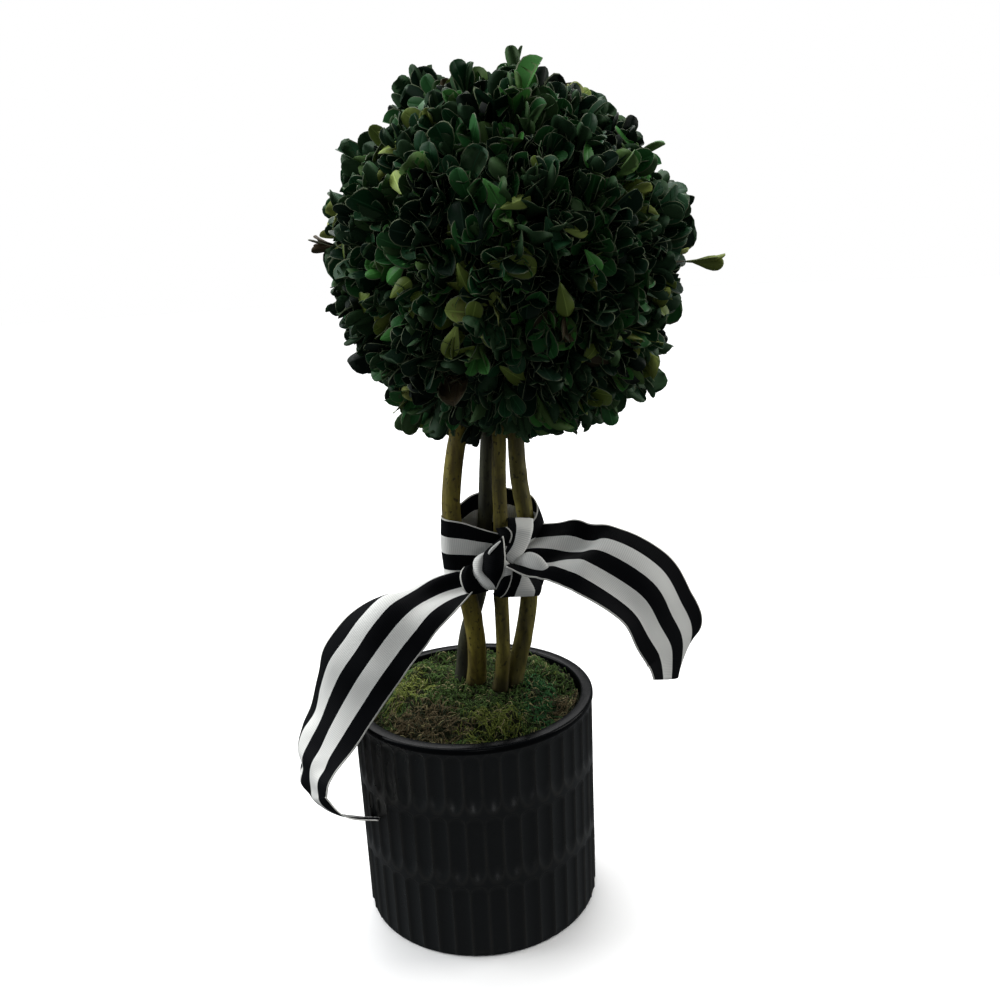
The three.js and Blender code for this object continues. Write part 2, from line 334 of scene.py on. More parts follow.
def bark(name, wood, dark, light, fineness):
    """Smooth young bark: long streaks up the stem, blotches and specks of darker bark, and a dark foot
    where the stem comes out of the moss. fineness scales the whole pattern, so that no two stems match."""
    f = Finish(name, wood, 0.62, specular=0.3)
    streak = f.noise(f.place((1, 1, 0.12)), 330 * fineness, 4)
    blotch = f.noise(f.place((1, 1, 0.5)), 120 * fineness, 3)
    speck = f.noise(f.place((1, 1, 0.7)), 620 * fineness, 2)
    spot = f.node("ShaderNodeTexCoord").outputs["Object"]
    height = f.node("ShaderNodeSeparateXYZ", {"Vector": spot}).outputs["Z"]
    low_down, uneven = f.spread(height, 0.098, 0.122, 1.0, 0.0), f.spread(blotch, 0.25, 0.6, 0.5, 1.0)
    foot = f.number("MULTIPLY", low_down, uneven)
    speck_colour, foot_colour = (tuple(share * c for c in dark) for share in (0.35, 0.4))
    colour = f.ramp(streak, [(0.3, dark), (0.5, wood), (0.72, light)])
    colour = f.blend(f.spread(blotch, 0.42, 0.66, 0.0, 0.85), colour, dark)
    colour = f.blend(f.spread(speck, 0.6, 0.68, 0.0, 0.8), colour, speck_colour)
    f.use("Base Color", f.blend(foot, colour, foot_colour))
    f.use("Roughness", f.spread(streak, 0.3, 0.7, 0.5, 0.75))
    f.relief(f.number("ADD", streak, speck), 0.00025, 0.8)
    return f.material


def ribbon_yarn(name, colour, shade, gloss):
    """Grosgrain: fine ribs that run across the ribbon. The yarn between them is darker, in its shade
    colour: painted shade in the grooves.
    """
    f = Finish(name, colour, 0.7, specular=gloss)
    uv = f.node("ShaderNodeUVMap", uv_map="UVMap").outputs["UV"]
    rib = f.node("ShaderNodeTexWave", {"Vector": uv, "Scale": 400.0, "Distortion": 0.0},
                 wave_type="BANDS", bands_direction="X", wave_profile="SIN").outputs["Fac"]
    longer = f.node("ShaderNodeMapping", {"Vector": uv, "Scale": (1, 1.6, 1)}).outputs["Vector"]
    stitch = f.noise(longer, 1500, 2)
    yarn = f.number("MULTIPLY", rib, f.spread(stitch, 0.2, 0.8, 0.75, 1.0))
    # Painted shade: the colour falls to the shade colour in the grooves between the ribs.
    f.use("Base Color", f.blend(yarn, shade, colour))
    f.relief(yarn, 0.00008, 0.8)
    return f.material


def plain_leaf(name, colour, roughness=0.48, specular=0.12):
    """One plain colour, for leaves by whole sprays, for moss fibres and for twigs."""
    return Finish(name, colour, roughness, specular).material


# ---------------------------------------------------------------- the pot


FLUTES = 44
PITCH = 2 * math.pi / FLUTES
FLUTE_START = math.radians(-4.3) - math.pi / 2
FLUTE_DEPTH = 1.3 * MM
FLUTE_FOOT = 8 * MM
# How wide the lighter glaze is along the ridges and round the arches, as shares of half a flute: partly wear,
# partly painted highlight.
RIDGE_WIDTH, ARCH_WIDTH = 0.13, 0.14
# The heights at which one band of flutes ends and the next begins.
JOINTS = (35.2 * MM, 67.6 * MM)
# In millimetres: rows of points up the wall, from one height to another and how many, and the outline of
# the underside from the middle to the wall, as distances out from the foot's edge and up.
POT_ROWS = ((1.6, 7, 5), (10, 25, 6), (27, 33, 9), (44.5, 57, 5), (59.5, 65.5, 9), (77, 86, 5))
POT_UNDERSIDE = ((-9, 0), (-8, 0.5), (-5, 0.5), (-4.2, 0), (-1.6, 0), (-0.7, 0.5))


def flute_relief(angle, height, radius, foot, top):
    """How deep the flutes are at each angle and height, and how near a ridge. Three bands of flutes stand
    one over the other. A flute is hollow like a part of a circle between two ridges, and ends in a round
    arch at its top. In the upper two bands it runs out at its foot over a length of FLUTE_FOOT, where the
    round hollow turns little by little into a softer dip."""
    edges = (foot, *JOINTS, top)
    half = PITCH * radius / 2
    off = (angle - FLUTE_START) / PITCH - 0.5
    side = np.abs(off - np.round(off)) * 2 * half
    sink = np.zeros(angle.shape)
    # Near a ridge the glaze is lighter: partly wear, partly painted highlight.
    ridge = np.exp(-(((1 - side / half) / RIDGE_WIDTH) ** 2))
    for band in range(len(JOINTS) + 1):
        low, high = edges[band] + 0.7 * MM, edges[band + 1] - 0.9 * MM
        over = np.maximum(height - (high - half), 0)
        under = np.maximum(low + FLUTE_FOOT - height, 0) * half / FLUTE_FOOT if band else 0
        share = np.hypot(side, over + under) / half
        inside = (height > edges[band]) & (height <= edges[band + 1])
        softness = mix(0.5, 1.8, np.clip(under / half, 0, 1))
        deep = np.clip(1 - share**2, 0, 1) ** softness * FLUTE_DEPTH
        sink = np.where(inside, deep, sink)
        # Round the arches at a flute's top and foot the glaze is lighter too: partly wear, partly painted
        # highlight.
        arch = np.exp(-(((share - 1) / ARCH_WIDTH) ** 2)) * 0.6
        ridge = np.where(inside & (over + under > 0), np.maximum(arch, ridge * (share < 1)), ridge)
    return sink, ridge


def make_pot():
    """The pot: an outline turned round the axis. Outside it sinks by flute_relief, and inside it is
    plain. The lip is flat on top with rounded edges, the foot is bevelled, and a shallow groove runs round
    the underside."""
    low, high = low_high("pot")
    height, lip = high[2] - low[2], (high[0] - low[0]) / 2
    wall, foot_radius, mouth = lip - 0.5 * MM, lip - 1.2 * MM, lip - 5.5 * MM
    floor, inner_floor = 6 * MM, mouth - 1 * MM
    band = height - 2.9 * MM
    joint_rows = np.concatenate([joint + np.linspace(-1.6, 9.0, 28) * MM for joint in JOINTS])
    plain_rows = [np.linspace(first * MM, last * MM, count) for first, last, count in POT_ROWS]
    outside = np.unique(np.round(np.r_[(joint_rows, *plain_rows, np.linspace(87.5 * MM, band, 14))], 6))

    profile = [(0, 0.0)] + [(foot_radius + out * MM, up * MM) for out, up in POT_UNDERSIDE]
    start = len(profile)
    profile += [(mix(foot_radius, wall, z / band), z) for z in outside]
    stop = len(profile)
    profile += [(lip - 0.2 * MM, band + 0.35 * MM), (lip, band + 0.9 * MM)]
    rounding = 1.1 * MM
    outer, inner, edge = lip - rounding, mouth + rounding, height - rounding
    quarter = np.radians(np.linspace(0, 90, 5))
    profile += [(outer + rounding * math.cos(a), edge + rounding * math.sin(a)) for a in quarter]
    profile += [(inner - rounding * math.sin(a), edge + rounding * math.cos(a)) for a in quarter]
    profile += [(mouth - 0.1 * MM, height - 6 * MM), (mix(inner_floor, mouth, 0.6), 62 * MM),
                (inner_floor, floor + 2 * MM), (inner_floor - 2 * MM, floor), (0, floor)]
    profile = np.array(profile)

    columns = FLUTES * 12
    radius = np.repeat(profile[1:-1, :1], columns, 1)
    z = np.repeat(profile[1:-1, 1:], columns, 1)
    theta = np.repeat((FLUTE_START + full_turn(columns))[None], len(radius), 0)
    rows = slice(start - 1, stop - 1)
    ridge = np.zeros(radius.shape)
    sink, near = flute_relief(theta[rows], z[rows], radius[rows], -2 * MM, band + 0.4 * MM)
    radius[rows] -= sink
    ridge[rows] = near
    settle = 0.12 * MM * ripples(np.stack([np.cos(theta), np.sin(theta), z * 20], -1), 2.1, 5, 2)
    radius += settle * (radius > mouth)
    ring = np.stack([radius * np.cos(theta), radius * np.sin(theta), z], -1).reshape(-1, 3)
    points = np.vstack([ring, [0, 0, profile[0, 1]], [0, 0, profile[-1, 1]]])
    quads, caps = closed_tube(len(radius), columns)
    finishes = np.zeros(len(quads) + len(caps), int)
    # The lip and the inside take the darker copy of the glaze: painted shade.
    finishes[(stop - 2) * columns:len(quads)] = 1
    piece("pot_fluted", points, quads, caps, [pot_glaze(), painted_shade_lip_glaze()], finishes,
          numbers={"ridge": np.r_[ridge.ravel(), 0, 0]}, stands_for=["pot"])


# ---------------------------------------------------------------- the moss, and the foam under it


def moss_gap(x, y):
    """1 in the hollow where the moss has shrunk from the wall at the front left, and 0 away from it."""
    return bell(x, y, (-46, -20), (6, 10))


def moss_reach():
    """The moss's radius and the height of its underside."""
    low, high = low_high("moss")
    return (high[0] - low[0]) / 2, low[2]


def moss_height(x, y):
    """Height of the moss: level at the stems, falling to the wall, in lumps and hollows. At the back and
    on the right it stands higher against the wall."""
    reach, _ = moss_reach()
    radius = np.hypot(x, y)
    wall = 91.6 * MM + 3.8 * MM * ease(-14 * MM, 30 * MM, y) + 1.6 * MM * ease(5 * MM, 45 * MM, x)
    fall = mix(97.4 * MM, wall, ease(24 * MM, reach, radius))
    lumps = ripples(np.stack([x, y], -1), 26 * MM, 11, 3) * ease(10 * MM, 30 * MM, radius) * 2.0 * MM
    return fall + lumps - 6 * MM * moss_gap(x, y)


def make_moss_cushion():
    """The ground of the moss: rings of points at moss_height, a little under the fibres, with a fine
    grain, then straight down at the rim to a flat underside. Its colour is nearly black, a painted shade
    under and between the fibres."""
    reach, underside = moss_reach()
    rings, columns = 44, 160
    radius = np.linspace(0, 1, rings + 1)[1:, None] ** 0.8 * reach
    angle = full_turn(columns)[None]
    x, y = radius * np.cos(angle), radius * np.sin(angle)
    sunk = 0.7 * MM
    grain = ripples(np.stack([x, y], -1), 4.2 * MM, 17, 2) * 0.5 * MM
    top = np.stack([x, y, moss_height(x, y) - sunk + grain], -1).reshape(-1, 3)
    rim = np.stack([x[-1], y[-1], np.full(columns, underside)], -1)
    points = np.vstack([top, rim, [0, 0, moss_height(0.0, 0.0) - sunk], [0, 0, underside]])
    quads, ends = closed_tube(rings + 1, columns, downwards=True)
    # Nearly black colours: painted shade under and between the fibres.
    ground = Finish("moss_ground_painted_shade", (0.03, 0.035, 0.012), 0.9, specular=0.1)
    cloud = ground.noise(ground.place(), 90, 4)
    ground.use("Base Color", ground.ramp(cloud, [
        (0.3, (0.004, 0.005, 0.002)), (0.5, (0.01, 0.013, 0.004)), (0.7, (0.016, 0.015, 0.007))]))
    ground.relief(ground.noise(ground.place(), 900, 3), 0.0006, 1.0)
    piece("moss_cushion", points, quads, ends, [ground.material], stands_for=["moss"])


MOSS_TINTS = {
    "yellow": (0.15, 0.185, 0.034), "green": (0.052, 0.1, 0.019), "deep": (0.022, 0.1, 0.025),
    "brown": (0.11, 0.085, 0.04), "straw": (0.24, 0.22, 0.1), "dark": (0.02, 0.028, 0.008),
}


def moss_kinds(x, y, wave):
    """The tint of each fibre, by number. Bright, blue and brown are areas of the cushion with uneven
    edges, and a fibre takes an area's tint by chance, more often near the area's middle. Straw and dark
    fibres lie everywhere."""
    brown = ease(0.1, 0.5, 1.1 * bell(x, y, (-24, -26), (17, 15)) + 0.9 * bell(x, y, (40, -16), (7, 12))
                 + 0.2 * wave)
    blue = ease(0.25, 0.6, bell(x, y, (30, -10), (9, 24)) + 0.16 * wave)
    bright = ease(0.2, 0.6, bell(x, y, (6, -30), (17, 13)) + 0.8 * bell(x, y, (-30, 6), (13, 16))
                  + 0.3 * wave)
    yellow_moss, green_moss, deep_moss, brown_moss, straw_moss, dark_moss = range(len(MOSS_TINTS))
    dice = rng.random(len(x))
    kind = np.where(rng.random(len(x)) < bright, yellow_moss, green_moss)
    kind = np.where(rng.random(len(x)) < blue, deep_moss, kind)
    kind = np.where(rng.random(len(x)) < brown, brown_moss, kind)
    return np.where(dice > 0.92, straw_moss, np.where(dice < 0.22, dark_moss, kind))


def make_moss_fibres():
    """Thousands of fine curled fibres lying over the cushion. Each is an arc that leaves the moss and
    comes back down. Its heading turns steadily by its curl, and it is held inside the pot's wall."""
    reach, _ = moss_reach()
    fibres, bends = 6000, 5
    turn = rng.uniform(0, 2 * math.pi, fibres)
    away = np.sqrt(rng.uniform(0, 1, fibres)) * (reach - 1.0 * MM)
    x, y = away * np.cos(turn), away * np.sin(turn)
    foot = np.stack([x, y], -1)
    heading = ripples(foot, 18 * MM, 23, 2) * 2.2 + rng.normal(0, 0.9, fibres)
    length = rng.uniform(2.6, 7.0, fibres) * MM
    curl = rng.normal(0, 2.6, fibres)
    rise = rng.uniform(0.2, 2.0, fibres) * MM * (1 + 1.2 * (rng.random(fibres) < 0.1))
    steps = np.linspace(0, 1, bends + 1)
    lean = heading[:, None] + curl[:, None] * (steps - 0.5)[None]
    stride = length[:, None] / bends
    px = x[:, None] + np.cumsum(np.cos(lean), 1) * stride
    py = y[:, None] + np.cumsum(np.sin(lean), 1) * stride
    out = np.maximum(np.hypot(px, py) / (reach - 0.8 * MM), 1)
    px, py = px / out, py / out
    lift = np.sin(math.pi * np.clip(steps * 0.9 + 0.1, 0, 1))[None] * rise[:, None]
    wobble = rng.normal(0, 0.18 * MM, (fibres, bends + 1))
    lines = np.stack([px, py, moss_height(px, py) - 0.5 * MM + lift + wobble], -1)
    thick = rng.uniform(0.13, 0.26, fibres) * MM * (1 - 0.9 * moss_gap(x, y))
    radii = thick[:, None] * np.interp(steps, [0, 0.5, 1], [1, 0.95, 0.45])[None]
    wave = ripples(foot, 20 * MM, 31, 2) + rng.normal(0, 0.35, fibres)
    kind = moss_kinds(x, y, wave)
    for number, (tint, colour) in enumerate(MOSS_TINTS.items()):
        chosen = kind == number
        points, quads, ends = limbs(lines[chosen], radii[chosen], 3)
        finish = plain_leaf(f"{tint}_moss", colour, 0.75, 0.2)
        piece(f"moss_fibres_{tint}", points, quads, ends, [finish])


def make_plug():
    """The block of foam under the moss, which holds the stems."""
    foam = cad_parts["foam_plug"]
    f = Finish("foam", (0.06, 0.08, 0.04), 0.9, specular=0.1)
    cells = f.noise(f.place(), 700, 2)
    f.use("Base Color", f.ramp(cells, [(0.35, (0.03, 0.045, 0.02)), (0.65, (0.08, 0.11, 0.05))]))
    f.relief(cells, 0.0004, 1.0)
    for holder in foam.material_slots:
        holder.material = f.material


# ---------------------------------------------------------------- the stems


def cad_line(node, levels):
    """Middle and radius of an upright CAD limb at each level, from where the level cuts its edges."""
    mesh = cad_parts[node].data
    points = np.empty(len(mesh.vertices) * 3)
    mesh.vertices.foreach_get("co", points)
    points = points.reshape(-1, 3)
    edges = np.empty(len(mesh.edges) * 2, int)
    mesh.edges.foreach_get("vertices", edges)
    a, b = points[edges.reshape(-1, 2)].transpose(1, 0, 2)
    middles, radii = [], []
    for level in levels:
        crossing = (a[:, 2] - level) * (b[:, 2] - level) < 0
        p, q = a[crossing], b[crossing]
        cut = mix(p, q, ((level - p[:, 2]) / (q[:, 2] - p[:, 2]))[:, None])
        middle = (cut.min(0) + cut.max(0)) / 2
        middles.append([middle[0], middle[1], level])
        radii.append(np.linalg.norm(cut[:, :2] - middle[:2], axis=1).max())
    return np.array(middles), np.array(radii)


FORK_THIN = 0.55


def stem_course(node, ball_middle):
    """The line and radius of a stem from the moss to its fork inside the ball: the CAD limb's middle, and
    then on towards the middle of the ball, thinning to the share FORK_THIN."""
    low, high = low_high(node)
    levels = np.linspace(low[2] + 0.2 * MM, high[2] - 6 * MM, 26)
    middles, radii = cad_line(node, levels)
    aim = ball_middle + (middles[-1] - ball_middle) * np.array([0.9, 0.9, 0.35])
    reach = np.linspace(0, 1, 8)[1:, None]
    line = np.vstack([middles, mix(middles[-1], aim, reach)])
    line[0, 2] = low[2]
    return line, np.r_[radii, mix(radii[-1], radii[-1] * FORK_THIN, reach[:, 0])]


# Each stem's bark: the colour of the wood, of its dark and its light places, how fine the pattern is, and
# a slot name, which is not used.
BARKS = {
    "stem_left": ((0.19, 0.155, 0.022), (0.075, 0.055, 0.011), (0.28, 0.24, 0.04), 1.0, "bark"),
    "stem_centre": ((0.15, 0.127, 0.022), (0.052, 0.042, 0.01), (0.235, 0.205, 0.044), 1.12, "bark"),
    "stem_right": ((0.15, 0.132, 0.025), (0.052, 0.045, 0.012), (0.24, 0.21, 0.05), 0.93, "bark"),
    "stem_back": ((0.035, 0.036, 0.018), (0.014, 0.015, 0.009), (0.06, 0.06, 0.03), 1.05, "dark_bark"),
}


def make_stems(courses):
    """Bark over each stem: a circle carried up its line. Its radius grows by long shallow flats, by fine
    grain, by the swellings of old buds, which are bell curves round and along the stem, and by a flare
    with three lobes at the foot."""
    sides, rows, buds_each = 28, 190, 7
    bud_turn, bud_rows = 0.55, 3.2
    shares = np.linspace(0, 1, rows)
    around = np.repeat(full_turn(sides)[None], rows, 0)
    for number, (node, (line, radii)) in enumerate(courses.items()):
        wood, dark, light, fineness, slot = BARKS[node]
        course = even(through(line, np.linspace(0, 1, 400)), rows)
        height = np.repeat(course[:, 2:], sides, 1)
        grid = np.stack([np.cos(around) * 3, np.sin(around) * 3, height / (9 * MM)], -1)
        flats = 0.05 * ripples(grid * [1, 1, 0.35], 5.2, 61 + number, 2)
        grain = 0.016 * ripples(grid * [1, 1, 0.5], 1.6, 71 + number, 3)
        dice = np.random.default_rng(80 + number)
        buds = np.zeros((rows, sides))
        for _ in range(buds_each):
            at, turn = dice.uniform(0.05, 0.62), dice.uniform(0, 2 * math.pi)
            size = dice.uniform(0.07, 0.15)
            off = np.angle(np.exp(1j * (around - turn))) / bud_turn
            rise = (shares[:, None] - at) * rows / bud_rows
            buds += size * np.exp(-(off**2) - rise**2)
        foot = 0.16 * np.exp(-((shares[:, None] / 0.03) ** 2)) * (1 + 0.4 * np.sin(3 * around + number))
        radius = through(radii, shares) * (1 + flats + grain + buds + foot)
        along = unit(np.gradient(course, axis=0))
        across = unit(np.cross(along, np.array([0.0, 1.0, 0.0])))
        ring = swing(across[:, None], np.cross(along, across)[:, None], around)
        points = (course[:, None] + ring * radius[..., None]).reshape(-1, 3)
        quads, ends = closed_tube(rows, sides)
        finish = bark(node.replace("stem", "bark"), wood, dark, light, fineness)
        piece(f"{node}_bark", np.vstack([points, course[0], course[-1]]), quads, ends, [finish],
              stands_for=[node])


# ---------------------------------------------------------------- boughs, twigs and leaves


LIMB_POINTS = 7


def grow(parents, tips, wander, seed):
    """Lines from each tip's nearest parent to the tip. Each leaves its parent on a smooth curve that
    bows to one side by a random share of its length."""
    dice = np.random.default_rng(seed)
    gap = np.linalg.norm(tips[:, None] - parents[None], axis=-1)
    start = parents[gap.argmin(1)]
    span = tips - start
    bow = np.cross(span, unit(dice.normal(size=span.shape))) * wander
    share = np.linspace(0, 1, LIMB_POINTS)[None, :, None]
    return start[:, None] + span[:, None] * share + bow[:, None] * (4 * share * (1 - share))


def make_branches(courses, middle, radius, tufts, spray_feet):
    """Boughs, branches and twigs. Boughs part from the stems' tops to points spread through the ball,
    branches part from the boughs' ends to each tuft, and twigs run on to the foot of each spray."""
    tops = np.array([line[-1] for line, _ in courses.values()])
    starts = np.vstack([tops] + [line[-5:] for line, _ in courses.values()])
    bough_count = 34
    bough_reach = rng.uniform(0.36, 0.48, (bough_count, 1))
    bough_tips = middle + spiral_directions(bough_count) * radius * bough_reach
    branch_tips = middle + tufts * radius * rng.uniform(0.5, 0.6, (len(tufts), 1))
    taper = np.linspace(1, 0, LIMB_POINTS)[None]
    wood = plain_leaf("twig_wood", (0.05, 0.04, 0.018), 0.7, 0.25)
    for name, lines, thick, thin, sides in (
        ("boughs", grow(starts, bough_tips, 0.13, 1), 1.5, 0.95, 8),
        ("branches", grow(bough_tips, branch_tips, 0.16, 2), 0.85, 0.5, 6),
        ("twigs", grow(branch_tips, spray_feet, 0.12, 3), 0.5, 0.34, 5),
    ):
        radii = (thin + (thick - thin) * taper) * MM * np.ones((len(lines), 1))
        points, quads, ends = limbs(lines, radii, sides)
        piece(f"ball_{name}", points, quads, ends, [wood])


# A leaf's outline as a share of its half-width at stations along it, the places of its columns of points
# across it, and which of those columns lie on its underside.
LEAF_STATIONS = np.array([0.08, 0.28, 0.5, 0.7, 0.84, 0.93, 0.98])
LEAF_OUTLINE = np.array([0.2, 0.5, 0.84, 1.0, 0.93, 0.7, 0.4])
LEAF_ACROSS = np.array([-1, -0.92, -0.06, 0.06, 0.92, 1, 0])
LEAF_UNDER = np.array([1, 0, 0, 0, 0, 1, 1])
LEAF_THICK = 0.3 * MM
LEAF_COLUMNS = len(LEAF_ACROSS)
LEAF_POINTS = len(LEAF_STATIONS) * LEAF_COLUMNS + 2
LEAF_QUADS = (len(LEAF_STATIONS) - 1) * LEAF_COLUMNS
LEAVES_IN_A_PIECE = 1900
BLADE, MIDRIB, MARGIN, UNDERSIDE = range(4)


def leaf_pattern():
    """One leaf on a small grid: places along and across it, which points lie on its underside, its faces,
    and the part of the leaf that each face belongs to."""
    stations = len(LEAF_STATIONS)
    along = np.r_[np.repeat(LEAF_STATIONS, LEAF_COLUMNS), 0.0, 1.0]
    across = np.r_[np.tile(LEAF_ACROSS, stations), 0, 0]
    under = np.r_[np.tile(LEAF_UNDER, stations), 0.5, 0.5]
    quads, ends = closed_tube(stations, LEAF_COLUMNS)
    around = np.array([MARGIN, BLADE, MIDRIB, BLADE, MARGIN, UNDERSIDE, UNDERSIDE])
    parts = np.r_[np.tile(around, stations - 1), np.roll(around[::-1], -1), around]
    return along, across, under, quads, ends, parts


def leaf_points(foot, forward, face, length, width, bend, cup, twist):
    """Points of many leaves. Along the leaf the middle bends on an arc. Its half-width follows the outline
    of a spoon, widest at two thirds and blunt at the tip, its edges rise by the cup, its midrib is pressed
    in, and it turns about its midrib by the twist."""
    along, across, under, *_ = leaf_pattern()
    side = np.cross(forward, face)
    bend = np.where(np.abs(bend) < 0.02, 0.02, bend)[:, None]
    arc = bend * along[None]
    run = length[:, None] * np.sin(arc) / bend
    rise = length[:, None] * (1 - np.cos(arc)) / bend
    shape = np.interp(along, np.r_[0, LEAF_STATIONS, 1], np.r_[0, LEAF_OUTLINE, 0])
    half = width[:, None] / 2 * shape[None]
    lift = cup[:, None] * half * across[None] ** 2 - LEAF_THICK * under[None]
    pressed = 0.12 * MM
    lift -= pressed * (np.abs(across) < 0.2) * (under < 0.4)
    reach = half * across[None]
    turn = twist[:, None] * along[None]
    reach, lift = reach * np.cos(turn) - lift * np.sin(turn), reach * np.sin(turn) + lift * np.cos(turn)
    forward, face, side = forward[:, None], face[:, None], side[:, None]
    tilt_face = swing(face, -forward, arc)
    return (foot[:, None] + forward * run[..., None] + face * rise[..., None]
            + side * reach[..., None] + tilt_face * lift[..., None])


# Each tint of leaf: the colour of its blade, and of its underside. The shade tint is nearly black: painted
# shade, on the inner layers and on a few outer sprays at random. TINT_SHARES says how many of the sprays
# have each tint, before the inner layers are darkened to the shade and deep tints as painted shade.
TINTS = {
    "shade": ((0.0015, 0.007, 0.0035), (0.004, 0.011, 0.006)),
    "deep": ((0.0032, 0.019, 0.008), (0.018, 0.046, 0.02)),
    "dark": ((0.009, 0.05, 0.017), (0.028, 0.066, 0.027)),
    "green": ((0.02, 0.096, 0.024), (0.045, 0.095, 0.033)),
    "fresh": ((0.044, 0.175, 0.032), (0.08, 0.15, 0.042)),
    "olive": ((0.115, 0.165, 0.03), (0.15, 0.19, 0.04)),
    "yellow": ((0.25, 0.33, 0.08), (0.27, 0.31, 0.09)),
    "brown": ((0.035, 0.028, 0.015), (0.06, 0.045, 0.024)),
}
TINT_SHARES = (0.06, 0.28, 0.29, 0.24, 0.09, 0.04, 0.004, 0.01)


def tint_numbers(names):
    """The number of each named tint."""
    return np.array([list(TINTS).index(name) for name in names])


def spray_leaves(feet, axes, tints, pairs, size, dice, lowest=30, top=6, loose=15):
    """The leaves of many sprays. Each spray carries pairs of leaves up its axis, each pair a quarter turn
    on from the last. The top pair leans out from the axis by the angle top, the lowest pair by the angle
    lowest, and each leaf is off that by chance, all in degrees."""
    count = len(feet)
    rows = []
    reference = unit(np.cross(axes, unit(dice.normal(size=axes.shape))))
    other = np.cross(axes, reference)
    start = dice.uniform(0, 2 * math.pi, count)
    for pair in range(pairs):
        height = (0.2 + 2.6 * pair) * MM * (0.8 + 0.4 * dice.random(count))
        for half in range(2):
            turn = start + pair * math.pi / 2 + half * math.pi + dice.normal(0, 0.28, count)
            radial = swing(reference, other, turn)
            spread = np.radians(np.interp(pair, [0, pairs - 1], [lowest, top]) + dice.normal(0, loose, count))
            forward = swing(axes, radial, spread)
            face = swing(-radial, axes, spread)
            face = swing(face, np.cross(forward, face), dice.normal(0, 0.42, count))
            length = size * dice.normal(1, 0.14, count).clip(0.65, 1.4)
            length *= np.interp(pair, [0, pairs - 1], [1.02, 0.9])
            width = length * dice.normal(0.475, 0.07, count).clip(0.32, 0.7)
            bend = dice.normal(-0.15, 0.4, count)
            cup = dice.normal(0.42, 0.34, count).clip(-0.3, 1.4)
            twist = dice.normal(0, 0.4, count)
            foot = feet + axes * height[:, None]
            rows.append((foot, forward, face, length, width, bend, cup, twist, tints))
    return [np.concatenate(parts) for parts in zip(*rows)]


# Leaves that turned and lie over the others, each at its own place on the ball: azimuth, elevation and
# heading in degrees, tint, and length in millimetres.
TURNED = (
    (-90, -2, 98, "olive", 17), (-90, -39, 138, "olive", 18), (-88, 16, 68, "yellow", 12),
    (-95, 19, 150, "fresh", 12), (-105, -6, 165, "olive", 14), (-70, 7, 95, "yellow", 10),
    (-74, -13, 162, "olive", 14), (-65, -2, 140, "fresh", 11), (-111, -24, 205, "yellow", 13),
    (-109, -29, 240, "olive", 14), (-123, -13, 20, "olive", 12), (-147, -11, 250, "olive", 15),
    (-138, -23, 80, "fresh", 13), (-129, 24, 320, "yellow", 12), (-143, 38, 60, "yellow", 11),
    (-169, 36, 285, "green", 15), (-11, 21, 85, "fresh", 13), (-103, -17, 20, "olive", 13),
    (-86, 3, 350, "olive", 14), (-78, 6, 165, "dark", 13), (-51, -31, 80, "olive", 14),
    (-23, 64, 25, "fresh", 13), (-74, 73, 352, "olive", 13), (-104, 10, 350, "deep", 19),
    (-99, 9, 15, "deep", 17), (-40, 24, 75, "dark", 14), (-60, 31, 200, "fresh", 12),
    (-127, 55, 350, "dark", 13), (-91, 51, 10, "green", 12),
)
STREWN_TINTS = ("green", "fresh", "olive", "olive", "brown")


def turned_leaves(middle, radius, dice):
    """Leaves that turned and lie over the others: those of the list TURNED, and as many again strewn at
    random. Each lies on the ball with its middle 2.5 mm under the outline, and tips outwards a little."""
    strewn = 30
    spread = spiral_directions(strewn) + dice.normal(0, 0.2, (strewn, 3))
    azimuth, elevation, heading = (np.radians([row[k] for row in TURNED]) for k in range(3))
    level = np.cos(elevation)
    placed = np.stack([level * np.cos(azimuth), level * np.sin(azimuth), np.sin(elevation)], 1)
    out = unit(np.vstack([placed, spread]))
    count = len(out)
    heading = np.r_[heading, dice.uniform(0, 2 * math.pi, strewn)]
    up = unit(np.array([0, 0, 1.0]) - out * out[:, 2:])
    right = np.cross(up, out)
    forward = unit(swing(up, right, heading) + out * dice.uniform(0.0, 0.35, (count, 1)))
    face = unit(out - forward * (out * forward).sum(1, keepdims=True))
    length = np.r_[[row[4] for row in TURNED], dice.uniform(10, 14, strewn)] * MM
    chance = dice.choice(tint_numbers(STREWN_TINTS), strewn)
    tints = np.r_[tint_numbers([row[3] for row in TURNED]), chance]
    foot = middle + out * (radius - 2.5 * MM) - forward * length[:, None] / 2
    width = length * dice.uniform(0.45, 0.57, count)
    bend, cup, twist = (dice.normal(usual, spare, count)
                        for usual, spare in ((-0.5, 0.25), (-0.1, 0.35), (0, 0.3)))
    return [foot, forward, face, length, width, bend, cup, twist, tints]


